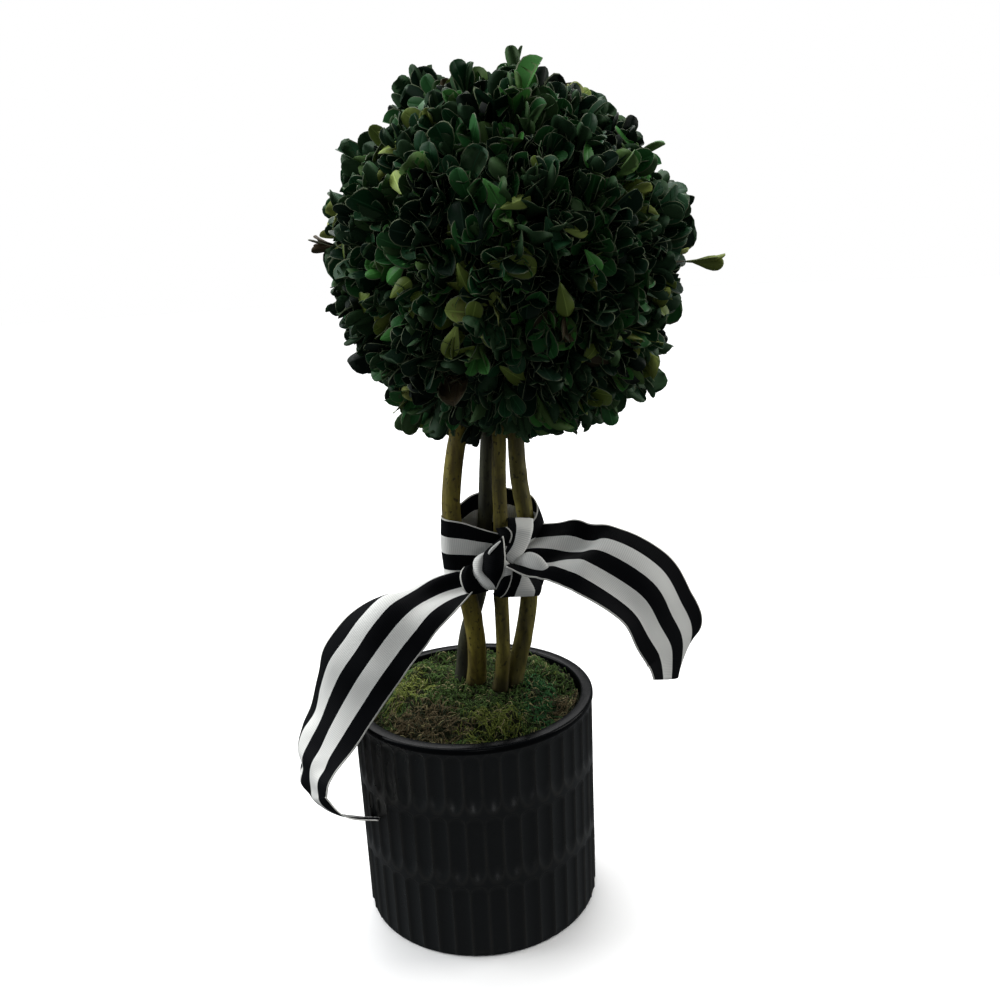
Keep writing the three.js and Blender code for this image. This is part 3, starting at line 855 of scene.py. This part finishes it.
def make_leaves(leaves):
    """Joins the leaves into pieces by tint. A piece has its blade, midrib, margin and underside colours.
    The pale margin is a painted highlight along each leaf's edge.
    """
    *_, quads, ends, parts = leaf_pattern()
    # A pale strip round each leaf's edge: painted highlight.
    margin = plain_leaf("leaf_margin_painted_highlight", (0.1, 0.125, 0.07), 0.5)
    tints = leaves[-1]
    for number, (tint, (blade, under)) in enumerate(TINTS.items()):
        rib = plain_leaf(f"midrib_{tint}", tuple(1.6 * c + 0.012 for c in blade), 0.5)
        top, back = plain_leaf(f"leaf_{tint}", blade), plain_leaf(f"underleaf_{tint}", under, 0.6)
        finishes = [top, rib, margin, back]
        chosen = np.flatnonzero(tints == number)
        for share, members in enumerate(np.array_split(chosen, math.ceil(len(chosen) / LEAVES_IN_A_PIECE))):
            points = leaf_points(*(values[members] for values in leaves[:-1]))
            n = len(members)
            numbers = np.r_[np.tile(parts[:LEAF_QUADS], n), np.tile(parts[LEAF_QUADS:], n)]
            stands = ["foliage_ball"] if number == 0 and share == 0 else []
            piece(f"leaves_{tint}_{share + 1}", points, repeat_faces(quads, LEAF_POINTS, n),
                  repeat_faces(ends, LEAF_POINTS, n), finishes, numbers, stands_for=stands)


BALL_MIDDLE = np.array([24.5, 0, 286.7]) * MM
# Shoots that escaped the shears: the tip and the leaf length in millimetres, and the tint.
SHOOTS = (((31.7, 0, 363.3), 14, "green"), ((108.9, 0, 280.6), 14, "olive"), ((-54.7, 0, 295.2), 11, "brown"))
# The layers of sprays from the outside in: how many, how deep under the outline and how long their leaves
# in millimetres, and the order in which the spiral's axes are taken, so that no layer repeats another.
LAYERS = ((810, 0, 16.6, (0, 1, 2)), (400, 11, 15.5, (1, 2, 0)), (260, 24, 15, (2, 0, 1)))
# Places where the clipped outline stands out or in: direction, width as a share, and height in millimetres.
OUTLINE_BUMPS = (
    ((-0.39, 0.23, 0.89), 0.36, 5.5), ((0.38, 0.23, 0.89), 0.26, 4.0), ((0.0, 0.25, 0.97), 0.25, 2.0),
    ((0.66, -0.1, 0.74), 0.3, -4.0), ((-0.87, 0.12, 0.49), 0.16, 5.0), ((0.5, -0.2, -0.84), 0.3, 6.0),
    ((-0.58, -0.2, -0.79), 0.22, 3.5), ((-0.8, -0.15, -0.55), 0.22, -3.0), ((0.8, -0.12, -0.58), 0.25, 2.5),
)


def ball_outline(directions):
    """How far the clipped ball stands out from round, in each direction, in metres: full low down, square
    at the top left and top right, flat at the upper right, and uneven all over."""
    x, _, z = directions.T
    stand = 3.5 * ease(-0.3, -0.62, z) - 2.0 * ease(-0.8, -1, z)
    stand += 1.2 * ease(-0.35, -0.9, x) * ease(-0.6, -0.2, z) * ease(0.75, 0.35, z)
    for spot, size, height in OUTLINE_BUMPS:
        apart = np.linalg.norm(directions - unit(np.array(spot)), axis=1)
        stand += height * np.exp(-((apart / size) ** 2))
    return (stand + 2.4 * ripples(directions, 0.75, 91, 2)) * MM


def make_ball(courses, middle):
    """The clipped ball: sprays of leaves in tufts, each spray on its own twig, with two layers of sprays
    under them and a few shoots that escaped the shears. The tufts' middles are spread over the sphere. A
    spray leans away from its tuft's middle, and sits lower the further it is from it."""
    radius, tuft_radius, edge_drop = 69.6 * MM, 0.16, 4.4 * MM
    tufts = spiral_directions(150)
    counts = [layer[0] for layer in LAYERS]
    depth, leaf_size = (np.repeat([layer[k] * MM for layer in LAYERS], counts) for k in (1, 2))
    directions = np.vstack([spiral_directions(count)[:, list(axes)] for count, _, _, axes in LAYERS])
    directions = unit(directions + rng.normal(0, 0.045, directions.shape))
    lean = directions - tufts[(directions @ tufts.T).argmax(1)]
    axes = unit(directions + 1.5 * lean + rng.normal(0, 0.2, directions.shape))
    edge = np.linalg.norm(lean, axis=1) / tuft_radius
    uneven = ball_outline(directions) - edge_drop * np.clip(edge, 0, 1.2) ** 2
    level = radius - depth + uneven
    size = leaf_size * rng.normal(1, 0.13, len(level))
    foot_level = level - size * 0.9 - 3.2 * MM + rng.normal(0, 1.8 * MM, len(level))
    feet = middle + directions * foot_level[:, None]
    tints = rng.choice(len(TINTS), len(level), p=np.array(TINT_SHARES) / sum(TINT_SHARES))
    shade, deep = tint_numbers(("shade", "deep"))
    outer, under, inner = counts
    # The inner layers take only the two darkest tints: painted shade inside the ball.
    tints[outer:] = np.where(rng.random(under + inner) < 0.6, shade, deep)
    tints[outer + under:] = shade

    tips, shoot_sizes, shoot_tints = zip(*SHOOTS)
    tips = np.array(tips) * MM
    heading = unit(tips - middle)
    shoot_feet = tips - heading * 13.5 * MM
    sprays = spray_leaves(feet, axes, tints, 3, size, rng)
    shoots = spray_leaves(shoot_feet, heading, tint_numbers(shoot_tints), 2, np.array(shoot_sizes) * MM, rng,
                          lowest=10, top=4, loose=4)
    width = 4
    shoots[width] *= 0.75
    turned = turned_leaves(middle, radius, rng)
    make_leaves([np.concatenate(parts) for parts in zip(sprays, shoots, turned)])
    make_branches(courses, middle, radius, tufts, np.vstack([feet, shoot_feet]))


# ---------------------------------------------------------------- the ribbon


RIBBON_WIDTH = 38.1 * MM
STRIPES = 5
STRIPE = RIBBON_WIDTH / STRIPES
SELVEDGE = 0.55 * MM
RIBBON_THICK = 0.45 * MM
BLACK, WHITE, SELVEDGE_YARN = 0, 1, 2


def ribbon_finishes():
    """The ribbon's yarns in the order BLACK, WHITE, SELVEDGE_YARN."""
    # Each yarn's second colour is the painted shade in the grooves between its ribs.
    black = ribbon_yarn("black_yarn", (0.0028, 0.0034, 0.0048), (0.0007, 0.0009, 0.0014), 0.05)
    white = ribbon_yarn("white_yarn", (0.82, 0.82, 0.79), (0.64, 0.65, 0.63), 0.25)
    edge = Finish("selvedge_yarn", (0.62, 0.62, 0.58), 0.6, 0.25)
    edge.relief(edge.noise(edge.place(), 2600, 1), 0.0001, 0.7)
    return [black, white, edge.material]


def ribbon_places():
    """Places across the ribbon: its two selvedges, and four steps to each stripe."""
    inner = np.linspace(0, RIBBON_WIDTH, STRIPES * 4 + 1)
    inner[0], inner[-1] = SELVEDGE, RIBBON_WIDTH - SELVEDGE
    return np.r_[0, inner, RIBBON_WIDTH]


def stripe_numbers(places):
    """The yarn between each two places across: the outer stripes are black, and a selvedge is pale."""
    middle = (places[1:] + places[:-1]) / 2
    stripe = np.where((middle / STRIPE).astype(int) % 2, WHITE, BLACK)
    return np.where((middle < SELVEDGE) | (middle > RIBBON_WIDTH - SELVEDGE), SELVEDGE_YARN, stripe)


def ribbon_sheet(name, grid, places, yarns, finishes, stands_for, line=None, closed=False):
    """A sheet of ribbon from its grid of points and the yarn of each column of faces, made solid to the
    ribbon's thickness. Its map is the length along its middle, or along another line, and the place across
    it, in metres. The last row of a closed sheet joins on to its first."""
    along = length_along(grid.mean(1) if line is None else line)
    uv = np.stack(np.meshgrid(along, places, indexing="ij"), -1)
    quads = grid_faces(*grid.shape[:2], closed_rows=closed)
    numbers = np.tile(yarns, len(quads) // len(yarns))
    made = piece(name, grid, quads, [], finishes, numbers, uv=uv, stands_for=stands_for)
    solid = made.modifiers.new("thickness", "SOLIDIFY")
    solid.thickness = RIBBON_THICK
    solid.offset = 0


# A tail's stations. at is its middle line in millimetres, across the direction to its lower edge, and
# folds the angle in degrees at which each of its stripes stands out of the section. cut is how much
# shorter its lower edge is, as a share of the length.
TAIL_LEFT = dict(
    at=[(2.2, -11.8, 153.8), (-16.7, -21.8, 148.8), (-28.1, -27, 143.7), (-42.6, -30.6, 130.2),
        (-55.2, -28.4, 109.9), (-64.8, -30.4, 91.2), (-69.6, -33.6, 80.2), (-67.6, -34.4, 70.2),
        (-58.0, -37, 62.0), (-41.3, -37, 58.4)],
    across=[(0.3, -0.9, -0.2), (0.46, -0.87, -0.16), (0.54, -0.76, -0.37), (0.64, -0.56, -0.52),
            (0.65, -0.67, -0.36), (0.54, -0.84, -0.02), (0.5, -0.86, 0.1), (0.36, -0.9, 0.2),
            (0.34, -0.86, 0.42), (0.16, -0.83, 0.56)],
    folds=[(115, 80, -72, 10, 65), (110, 60, -60, 12, 5), (95, 26, -30, 4, -34), (70, 16, -20, -16, -38),
           (50, 5, -30, -31, -31), (31, 5, -22, -26, -15), (17, 2, -2, -12, -20), (21, -3, -9, -17, -12),
           (29, 3, -2, -12, -15), (18, 13, 2, -12, -21), (27, -9, -13, -8, -11), (27, 3, -9, -29, 0),
           (24, 24, -6, -6, -12), (16, 18, -25, -4, -12), (8, 8, 8, -20, -20), (2, 2, 2, -4, -26),
           (0, 0, 0, 0, -10), (0, 0, 0, 0, 6), (0, 0, 0, 0, 12)],
    cut=0.0,
)
TAIL_RIGHT = dict(
    at=[(21.6, -10.8, 168.2), (35.9, -14.0, 166.8), (46.3, -18.9, 165.8), (56, -23.5, 164.6),
        (74.2, -26.7, 152.4), (82.6, -25.2, 137.6), (87.9, -22.5, 124.6), (86.0, -21.0, 106.4)],
    across=[(-0.2, -0.8, -0.57), (-0.2, -0.84, -0.51), (-0.39, -0.82, -0.41), (-0.49, -0.71, -0.5),
            (-0.58, -0.61, -0.54), (-0.68, -0.58, -0.42), (-0.74, -0.66, -0.12), (-0.54, -0.83, 0.15)],
    folds=[(18, -42, 12, -68, -42), (10, -24, 10, -50, -15), (8, -6, 14, -47, -10), (30, 24, -15, -36, 9),
           (40, 1, -23, -9, 14), (30, -15, -16, 7, 15), (-4, -8, 8, 3, 3), (-7, -1, 16, 7, -10),
           (-2, -4, 10, 14, -14), (0, -8, 8, 8, -8), (-1, -4, 2, 2, 0), (2, -4, 0, 0, 0),
           (-2, -8, 0, 2, 2), (-44, -20, 4, 0, -2), (-74, -46, 6, 0, -4)],
    cut=0.062,
)


def make_tail(name, node, tail, finishes):
    """A tail of ribbon. Its middle line and its direction across run smoothly through the stations. At
    each place the section across it is the sum of small steps, each turned by the fold of its stripe, so
    that the ribbon keeps its width where it is pleated or rolled. The end is cut on the slant: beyond the
    second stripe each line along the ribbon is shortened, at the last edge by the share cut."""
    rows = 150
    shares = np.linspace(0, 1, rows)
    middle = through(tail["at"], shares) * MM
    across = unit(through(tail["across"], shares))
    along = unit(np.gradient(middle, axis=0))
    across = unit(across - along * (across * along).sum(1, keepdims=True))
    out = np.cross(along, across)

    places = ribbon_places()
    centres = STRIPE * (np.arange(STRIPES) + 0.5)
    folds = np.radians(through(tail["folds"], shares))
    turn = np.stack([np.interp((places[1:] + places[:-1]) / 2, centres, row) for row in folds])
    start, step = np.zeros((rows, 1)), np.diff(places)
    sideways = np.concatenate([start, np.cumsum(np.cos(turn) * step, 1)], 1)
    outwards = np.concatenate([start, np.cumsum(np.sin(turn) * step, 1)], 1)
    sideways -= (sideways.min(1, keepdims=True) + sideways.max(1, keepdims=True)) / 2
    outwards -= outwards[:, places > 2 * STRIPE].mean(1, keepdims=True)
    grid = middle[:, None] + across[:, None] * sideways[..., None] + out[:, None] * outwards[..., None]

    beyond = np.clip((places - 2 * STRIPE) / (3 * STRIPE), 0, 1)
    row = shares[:, None] * (rows - 1) * (1 - tail["cut"] * beyond)
    low = np.minimum(row.astype(int), rows - 2)
    column = np.arange(len(places))
    grid = mix(grid[low, column], grid[low + 1, column], (row - low)[..., None])
    ribbon_sheet(name, grid, places, stripe_numbers(places), finishes, [node])


def loop_line(circles, margin, count):
    """The tightest loop round all the circles, kept a margin clear of them: in each direction, the point
    of the circle that reaches furthest that way."""
    turn = full_turn(count)
    normal = np.stack([np.cos(turn), np.sin(turn)], 1)
    reach = circles[:, :2] @ normal.T + circles[:, 2:]
    chosen = circles[reach.argmax(0)]
    return chosen[:, :2] + (chosen[:, 2:] + margin) * normal


def smoothed(loop, times):
    """A closed row of values, smoothed: each becomes the mean of itself and its two neighbours on each
    side, weighted 1, 4, 6, 4 and 1."""
    for _ in range(times):
        loop = sum(weight / 16 * np.roll(loop, k - 2, axis=0) for k, weight in enumerate((1, 4, 6, 4, 1)))
    return loop


# Stations round the turn of ribbon: azimuth in degrees, then in millimetres the heights of its upper and
# lower edge, how far its middle stands off the stems, and how far its lower edge is drawn up.
TURN_EDGES = (
    (-180, 180.9, 142.4, 0, 0), (-160, 180.7, 142.4, 0, 0), (-140, 179.4, 142.8, 0, 3),
    (-115, 177.0, 145, 0, 4.5), (-92, 175.2, 148, 0, 4.5), (-68, 173.6, 147.6, 0, 3),
    (-35, 172.0, 146.0, 0.6, 0), (-8, 175.0, 144.5, 3.0, 0), (8, 181.5, 144.5, 3.2, 0),
    (20, 185.6, 146, 1.6, 0), (50, 188.2, 151, 0, 0), (93, 186.2, 149, 0, 0),
    (122, 184.4, 147, 0, 0), (160, 181.8, 143.5, 0, 0), (180, 180.9, 142.4, 0, 0),
)


def make_turn(courses, finishes):
    """The turn of ribbon round the stems: a band on edge along the tightest loop round them, between an
    upper and a lower edge that run through the stations of TURN_EDGES. Slight waves run across it, it
    bulges on a sine where it stands off the stems, and under the knot its lower edge is drawn up."""
    circles = []
    for line, radii in courses.values():
        for level in np.linspace(147.9, 180.9, 6) * MM:
            x, y, radius = (np.interp(level, line[:, 2], values) for values in (*line[:, :2].T, radii))
            circles.append([x, y, radius + 0.3 * MM])
    rows = 240
    loop = loop_line(np.array(circles), 0.85 * MM, 720)
    loop = smoothed(even(np.vstack([loop, loop[:1]]), rows + 1)[:-1], 3)
    outward = unit(loop - loop.mean(0))
    azimuth = np.degrees(np.arctan2(outward[:, 1], outward[:, 0]))
    stations = np.array(TURN_EDGES)
    edges = [smoothed(np.interp(azimuth, stations[:, 0], values), 6) for values in stations[:, 1:].T]
    top, bottom, stand, drawn = (edge[:, None] for edge in edges)
    places = ribbon_places()
    share = places[None] / RIBBON_WIDTH
    wave = 0.35 * np.sin(share * 9 + loop[:, :1] / (6 * MM)) + stand * np.sin(math.pi * share) ** 0.7
    z = mix(top, bottom, share) + drawn * ease(0.5, 1, share)
    grid = np.concatenate([loop[:, None] + outward[:, None] * wave[..., None] * MM, z[..., None] * MM], -1)
    ribbon_sheet("ribbon_turn_band", grid, places, stripe_numbers(places), finishes, ["ribbon_turn"],
                 line=loop, closed=True)


# The folds of the knot. hem is the edge that has a pale selvedge, bulge how far the fold swells in
# millimetres, and borders its border lines with the yarn between each two of them. A point of a border is
# in millimetres to the right of, above and in front of the knot's corner.
KNOT_FOLDS = {
    "wrap": dict(hem=None, bulge=1.2, borders=(
        ((9.8, 20.3, -11), (9.9, 19.3, -8.5), (10.4, 15.9, -5.4), (10.5, 12.8, -4.4), (9.6, 9.3, -3.7),
         (8.5, 6.2, -3.0), (7.5, 3.6, -3.0)), BLACK,
        ((13.0, 20.1, -13), (13.0, 19.1, -9.5), (13.3, 15.8, -4.8), (12.8, 12.3, -3.6), (11.6, 8.8, -2.9),
         (9.8, 6.1, -2.4), (7.7, 3.4, -2.6)), WHITE,
        ((20.6, 19.7, -16), (20.5, 18.6, -12), (20.0, 14.7, -5.6), (18.6, 10.4, -4.6), (16.5, 6.4, -4.2),
         (13.8, 3.1, -3.7), (10.8, 0.4, -3.4)),
    )),
    "inner": dict(hem="right", bulge=0.9, borders=(
        ((4.8, 16.0, -6.5), (5.6, 13.8, -5.4), (6.7, 11.8, -4.2), (7.4, 9.4, -3.4)), BLACK,
        ((9.1, 16.1, -4.4), (10.8, 14.3, -3.4), (11.2, 12.3, -3.0), (10.2, 9.4, -2.8)),
    )),
    "petal": dict(hem=None, bulge=1.2, borders=(
        ((11.2, 0.7, -3.0), (13.4, -0.4, -1.2), (16.4, -1.5, 0.8), (19.4, -2.5, 2.2), (22.0, -3.2, 2.9)),
         WHITE,
        ((11.4, 1.2, -3.4), (14.6, 4.0, -2.0), (18.4, 5.0, 0.0), (22.4, 3.0, 1.6), (25.8, -1.8, 2.6)),
    )),
    "hem": dict(hem="right", bulge=0.3, borders=(
        ((11.2, 0.7, -2.6), (13.4, -0.4, -0.8), (16.4, -1.5, 1.2), (19.4, -2.5, 2.6), (22.2, -3.3, 3.3)),
         BLACK,
        ((11.2, -0.1, -2.2), (13.4, -1.2, -0.5), (16.2, -2.7, 1.3), (19.2, -3.7, 2.7), (22.2, -4.7, 3.4)),
    )),
    "under": dict(hem=None, bulge=0.8, borders=(
        ((10.3, 0.2, -3.8), (10.6, -3.0, -3.4), (9.5, -6.9, -3.2), (7.6, -10.3, -3.7), (5.1, -13.0, -5.5)),
         BLACK,
        ((10.9, 0.0, -4.5), (14.1, -3.8, -5.5), (13.6, -6.7, -4.6), (12.2, -9.8, -4.6),
         (10.8, -13.0, -6.5)), WHITE,
        ((11.3, 0.0, -5.5), (16.2, -4.2, -9.0), (18.4, -7.8, -9.5), (19.6, -10.8, -10.0),
         (19.2, -13.2, -11.5)), BLACK,
        ((12.8, -0.4, -7.0), (19.4, -4.6, -12.5), (22.6, -8.2, -15.5), (22.6, -11.0, -16.0),
         (21.5, -13.4, -16.5)),
    )),
    "collar": dict(hem="left", bulge=1.9, borders=(
        ((-9.4, 0.2, -3.6), (-10.6, -1.6, -1.9), (-11.0, -3.9, -1.2), (-10.5, -6.9, -1.2),
         (-9.4, -9.5, -1.9), (-7.5, -11.2, -3.6)), BLACK,
        ((-5.8, 1.4, -3.4), (-6.0, -1.0, -2.3), (-5.3, -3.8, -1.8), (-3.7, -6.6, -2.0), (-1.8, -8.7, -3.0),
         (0.3, -10.0, -4.4)),
    )),
    "crescent": dict(hem=None, bulge=1.3, borders=(
        ((-0.6, 5.9, -2.2), (-3.2, 4.7, -2.4), (-4.9, 3.0, -2.4), (-5.4, 0.6, -2.1), (-5.0, -2.6, -1.7),
         (-3.5, -5.8, -1.6), (-1.6, -8.2, -1.8), (0.6, -9.5, -2.0), (3.4, -9.3, -1.9)), WHITE,
        ((-0.3, 5.7, -1.6), (-0.9, 4.4, -1.2), (-1.1, 2.6, -0.9), (-1.5, 0.4, -0.9), (-1.6, -1.8, -0.9),
         (-0.2, -3.8, -0.9), (1.4, -5.2, -0.9), (2.8, -6.6, -0.9), (4.0, -8.0, -0.9)),
    )),
    "core": dict(hem="right", bulge=2.2, borders=(
        ((7.0, 11.9, -1.8), (4.4, 9.9, -1.2), (1.5, 7.8, -0.9), (-0.6, 5.4, -0.8), (-1.5, 1.6, -0.8),
         (-1.6, -1.8, -0.8), (0.6, -4.6, -0.8), (3.2, -7.6, -0.9)), BLACK,
        ((7.5, 12.4, -1.4), (7.8, 9.6, 0.0), (7.9, 6.4, 0.7), (7.9, 2.6, 1.0), (7.5, -0.8, 1.1),
         (6.6, -3.8, 0.9), (4.9, -6.8, 0.2), (3.6, -9.5, -0.9)),
    )),
    # A thin strip of white yarn on the core's edge: a painted highlight.
    "painted_glint": dict(hem=None, bulge=0.3, borders=(
        ((6.3, 10.4, 0.2), (3.9, 8.7, 1.2), (2.0, 7.0, 1.6), (1.1, 5.3, 1.6)), WHITE,
        ((6.4, 10.0, 0.2), (4.6, 8.3, 1.2), (2.7, 6.5, 1.6), (1.3, 5.0, 1.6)),
    )),
    "heart": dict(hem="right", bulge=1.0, borders=(
        ((7.6, 2.6, 0.5), (7.5, 0.8, 0.6), (7.0, -1.8, 0.5), (6.0, -5.4, 0.2)), WHITE,
        ((7.6, 2.5, 0.5), (9.3, 1.0, -0.3), (10.4, -1.4, -0.7), (10.3, -4.6, -1.0)),
    )),
    "lip": dict(hem="right", bulge=1.5, borders=(
        ((6.4, -4.6, 0.1), (5.4, -6.6, 0.0), (4.4, -8.6, -0.5), (3.4, -10.2, -1.1), (2.2, -11.4, -2.5)),
         BLACK,
        ((10.3, -3.6, -1.0), (10.0, -5.6, -1.2), (8.8, -8.8, -1.6), (7.2, -11.4, -2.6),
         (5.2, -13.0, -3.8)),
    )),
}


# Which way right, up and out of the knot point. It leans back, so that its face looks a little upwards.
KNOT_RIGHT = np.array([1.0, 0, 0])
KNOT_UP = np.array([0, 0.3155, 0.949])
KNOT_OUT = np.array([0, -0.949, 0.3155])


def make_fold(name, fold, corner, finishes):
    """A fold of the knot. Smooth border lines run down it, with a yarn between each two. Between its edges
    it swells outwards on a sine, more where it is wide, and both its edges turn back in. A hem is a narrow
    pale selvedge along one edge, whose turned-back part is black again."""
    rows, steps = 40, 7
    shares = np.linspace(0, 1, rows)
    lines = [through(border, shares) for border in fold["borders"][::2]]
    yarns = list(fold["borders"][1::2])
    if fold["hem"]:
        on_left = fold["hem"] == "left"
        this, that = (0, 1) if on_left else (-1, -2)
        inward = lines[that] - lines[this]
        width = np.linalg.norm(inward, axis=1, keepdims=True)
        inset = lines[this] + inward / np.maximum(width, 0.01) * np.minimum(0.48, 0.5 * width)
        lines.insert(1 if on_left else len(lines) - 1, inset)
        yarns.insert(0 if on_left else len(yarns), SELVEDGE_YARN)

    share = np.linspace(0, 1, steps + 1)[None, :, None]
    strips = [left[:, None] * (1 - share) + right[:, None] * share for left, right in zip(lines, lines[1:])]
    grid = np.concatenate(strips[:1] + [strip[:, 1:] for strip in strips[1:]], 1)
    apart = np.linalg.norm(np.diff(grid, axis=1), axis=2)
    place = np.concatenate([np.zeros((rows, 1)), np.cumsum(apart, 1)], 1)
    width = place[:, -1:]
    arch = np.sin(math.pi * np.clip(place / np.maximum(width, 0.01), 0, 1))
    grid[..., 2] += fold["bulge"] * (width / width.max()) ** 0.8 * np.clip(arch, 0, 1) ** 0.8

    back = []
    for edge, near in ((0, 1), (-1, -2)):
        inward = unit(grid[:, near] - grid[:, edge]) * 0.5
        back.append([grid[:, edge] + inward * turn - [0, 0, drop] for turn, drop in ((0.4, 0.7), (1.8, 1.6))])
    grid = np.stack([back[0][1], back[0][0], *grid.transpose(1, 0, 2), *back[1]], 1)
    first, last = (BLACK if yarns[edge] == SELVEDGE_YARN else yarns[edge] for edge in (0, -1))
    numbers = [first, yarns[0], *np.repeat(yarns, steps), yarns[-1], last]

    grid = corner + (grid[..., :1] * KNOT_RIGHT + grid[..., 1:2] * KNOT_UP + grid[..., 2:] * KNOT_OUT) * MM
    places = np.linspace(0, width.max() * MM, grid.shape[1])
    ribbon_sheet(f"knot_{name}", grid, places, numbers, finishes, ["ribbon_knot"] if name == "core" else [])


def make_knot(finishes):
    """The knot: a body of ribbon pulled tight, which is an egg with shallow slanting creases, and over it
    the folds of the ribbon that wrap round it."""
    low, high = low_high("ribbon_knot")
    corner = (low + high) / 2
    corner[1] = low[1] + 2.8 * MM
    rows, columns = 22, 40
    polar = np.linspace(0, math.pi, rows + 2)[1:-1, None]
    around = full_turn(columns)[None]
    x, y = np.sin(polar) * np.cos(around), np.sin(polar) * np.sin(around)
    z = np.cos(polar) * np.ones_like(around)
    half = np.array([6.4, 5.0, 8.2]) * MM
    centre = corner + np.array([4.6, 5.8, -1.6]) * MM
    crease = 1 + 0.03 * np.sin(5 * around + 4 * z) * np.sin(polar)
    points = (centre + np.stack([x, y, z], -1) * crease[..., None] * half).reshape(-1, 3)
    points = np.vstack([points, centre + [0, 0, half[2]], centre - [0, 0, half[2]]])
    quads, ends = closed_tube(rows, columns, downwards=True)
    uv = np.stack([points[:, 2], points[:, 0]], -1)
    piece("knot_body", points, quads, ends, [finishes[BLACK]], uv=uv)
    for name, fold in KNOT_FOLDS.items():
        make_fold(name, fold, corner, finishes)


# ---------------------------------------------------------------- the studio


def make_floor():
    """A wide pale floor, which the lights reach but which throws no light back on the plant."""
    corners, reach = 96, 6
    turn = full_turn(corners)
    ring = np.stack([reach * np.cos(turn), reach * np.sin(turn), np.zeros(corners)], 1)
    mesh = bpy.data.meshes.new("floor")
    mesh.from_pydata(np.vstack([ring, [0, 0, 0]]).tolist(), [], fan(corners, np.arange(corners)).tolist())
    floor = bpy.data.objects.new("floor", mesh)
    bpy.context.scene.collection.objects.link(floor)
    f = Finish("pale_floor", (0.93, 0.93, 0.93), 0.8, specular=0.1)
    cloud = f.noise(f.place(), 3, 2)
    f.use("Base Color", f.ramp(cloud, [(0.3, (0.92, 0.92, 0.92)), (0.7, (0.94, 0.94, 0.94))]))
    mesh.materials.append(f.material)
    floor.visible_diffuse = False
    floor.visible_glossy = False


def make_surround():
    """A surround that is white to look at and gives a faint cool light."""
    world = bpy.data.worlds.new("surround")
    world.use_nodes = True
    nodes, links = world.node_tree.nodes, world.node_tree.links
    soft, seen = nodes["Background"], nodes.new("ShaderNodeBackground")
    for light, colour, strength in ((soft, (0.93, 0.97, 1.0), 0.13), (seen, (1, 1, 1), 1.0)):
        light.inputs["Color"].default_value = (*colour, 1)
        light.inputs["Strength"].default_value = strength
    path, either = nodes.new("ShaderNodeLightPath"), nodes.new("ShaderNodeMixShader")
    links.new(path.outputs["Is Camera Ray"], either.inputs[0])
    links.new(soft.outputs[0], either.inputs[1])
    links.new(seen.outputs[0], either.inputs[2])
    links.new(either.outputs[0], nodes["World Output"].inputs["Surface"])
    bpy.context.scene.world = world


# Soft square lamps: where each stands and what it is turned to, its size, power and colour, and how wide
# its beam spreads in degrees. The one in front is small, and only lifts the pot.
MIDDLE_OF_PLANT = (0.01, 0, 0.19)
LAMPS = {
    "light_left": ((-1.35, 0.12, 0.75), MIDDLE_OF_PLANT, 0.9, 15, (0.97, 0.99, 1.0), 180),
    "light_right": ((1.35, 0.25, 0.7), MIDDLE_OF_PLANT, 0.8, 13, (1, 0.99, 0.96), 180),
    "light_behind": ((0.0, 1.1, 1.25), MIDDLE_OF_PLANT, 1.1, 8, (1, 1, 1), 180),
    "light_front": ((0.1, -1.2, 0.2), (0.01, 0, 0.07), 0.35, 0.045, (1, 1, 1), 34),
}


def make_lights():
    """A wide soft light from above, and the soft lamps round the plant."""
    above = bpy.data.lights.new("light_above", "SUN")
    above.energy = 3.9
    above.angle = math.radians(70)
    made = bpy.data.objects.new("light_above", above)
    made.rotation_euler = (math.radians(-16), math.radians(-10), 0)
    bpy.context.scene.collection.objects.link(made)
    for name, (place, aim, size, power, colour, spread) in LAMPS.items():
        lamp = bpy.data.lights.new(name, "AREA")
        lamp.shape = "SQUARE"
        lamp.size = size
        lamp.energy = power
        lamp.color = colour
        lamp.spread = math.radians(spread)
        made = bpy.data.objects.new(name, lamp)
        made.location = place
        made.rotation_euler = Vector(np.subtract(aim, place)).to_track_quat("-Z", "Y").to_euler()
        made.visible_camera = False
        bpy.context.scene.collection.objects.link(made)


def make_camera():
    """A camera at the front, a little above the ball and looking down, with a slight roll."""
    pitch, roll = math.radians(14.463), math.radians(2.870)
    ahead = np.array([0, math.cos(pitch), -math.sin(pitch)])
    level = np.array([1.0, 0, 0])
    upward = np.array([0, math.sin(pitch), math.cos(pitch)])
    right = math.cos(roll) * level - math.sin(roll) * upward
    up = math.sin(roll) * level + math.cos(roll) * upward
    lens = bpy.data.cameras.new("camera")
    lens.sensor_width = 36
    lens.lens = 34.902
    lens.clip_start, lens.clip_end = 0.01, 50
    made = bpy.data.objects.new("camera", lens)
    place = Vector((16.55 * MM, -402.14 * MM, 289.74 * MM))
    made.matrix_world = Matrix.Translation(place) @ Matrix(np.stack([right, up, -ahead], 1).tolist()).to_4x4()
    bpy.context.scene.collection.objects.link(made)
    bpy.context.scene.camera = made


# ---------------------------------------------------------------- assembly


make_camera()
make_floor()
make_surround()
make_lights()
make_pot()
make_plug()
make_moss_cushion()
make_moss_fibres()
stem_courses = {node: stem_course(node, BALL_MIDDLE) for node in BARKS}
make_stems(stem_courses)
make_ball(stem_courses, BALL_MIDDLE)
yarns = ribbon_finishes()
make_turn(stem_courses, yarns)
make_knot(yarns)
make_tail("tail_left", "ribbon_tail_left", TAIL_LEFT, yarns)
make_tail("tail_right", "ribbon_tail_right", TAIL_RIGHT, yarns)

bpy.context.scene.view_settings.view_transform = "Standard"
bpy.context.view_layer.update()
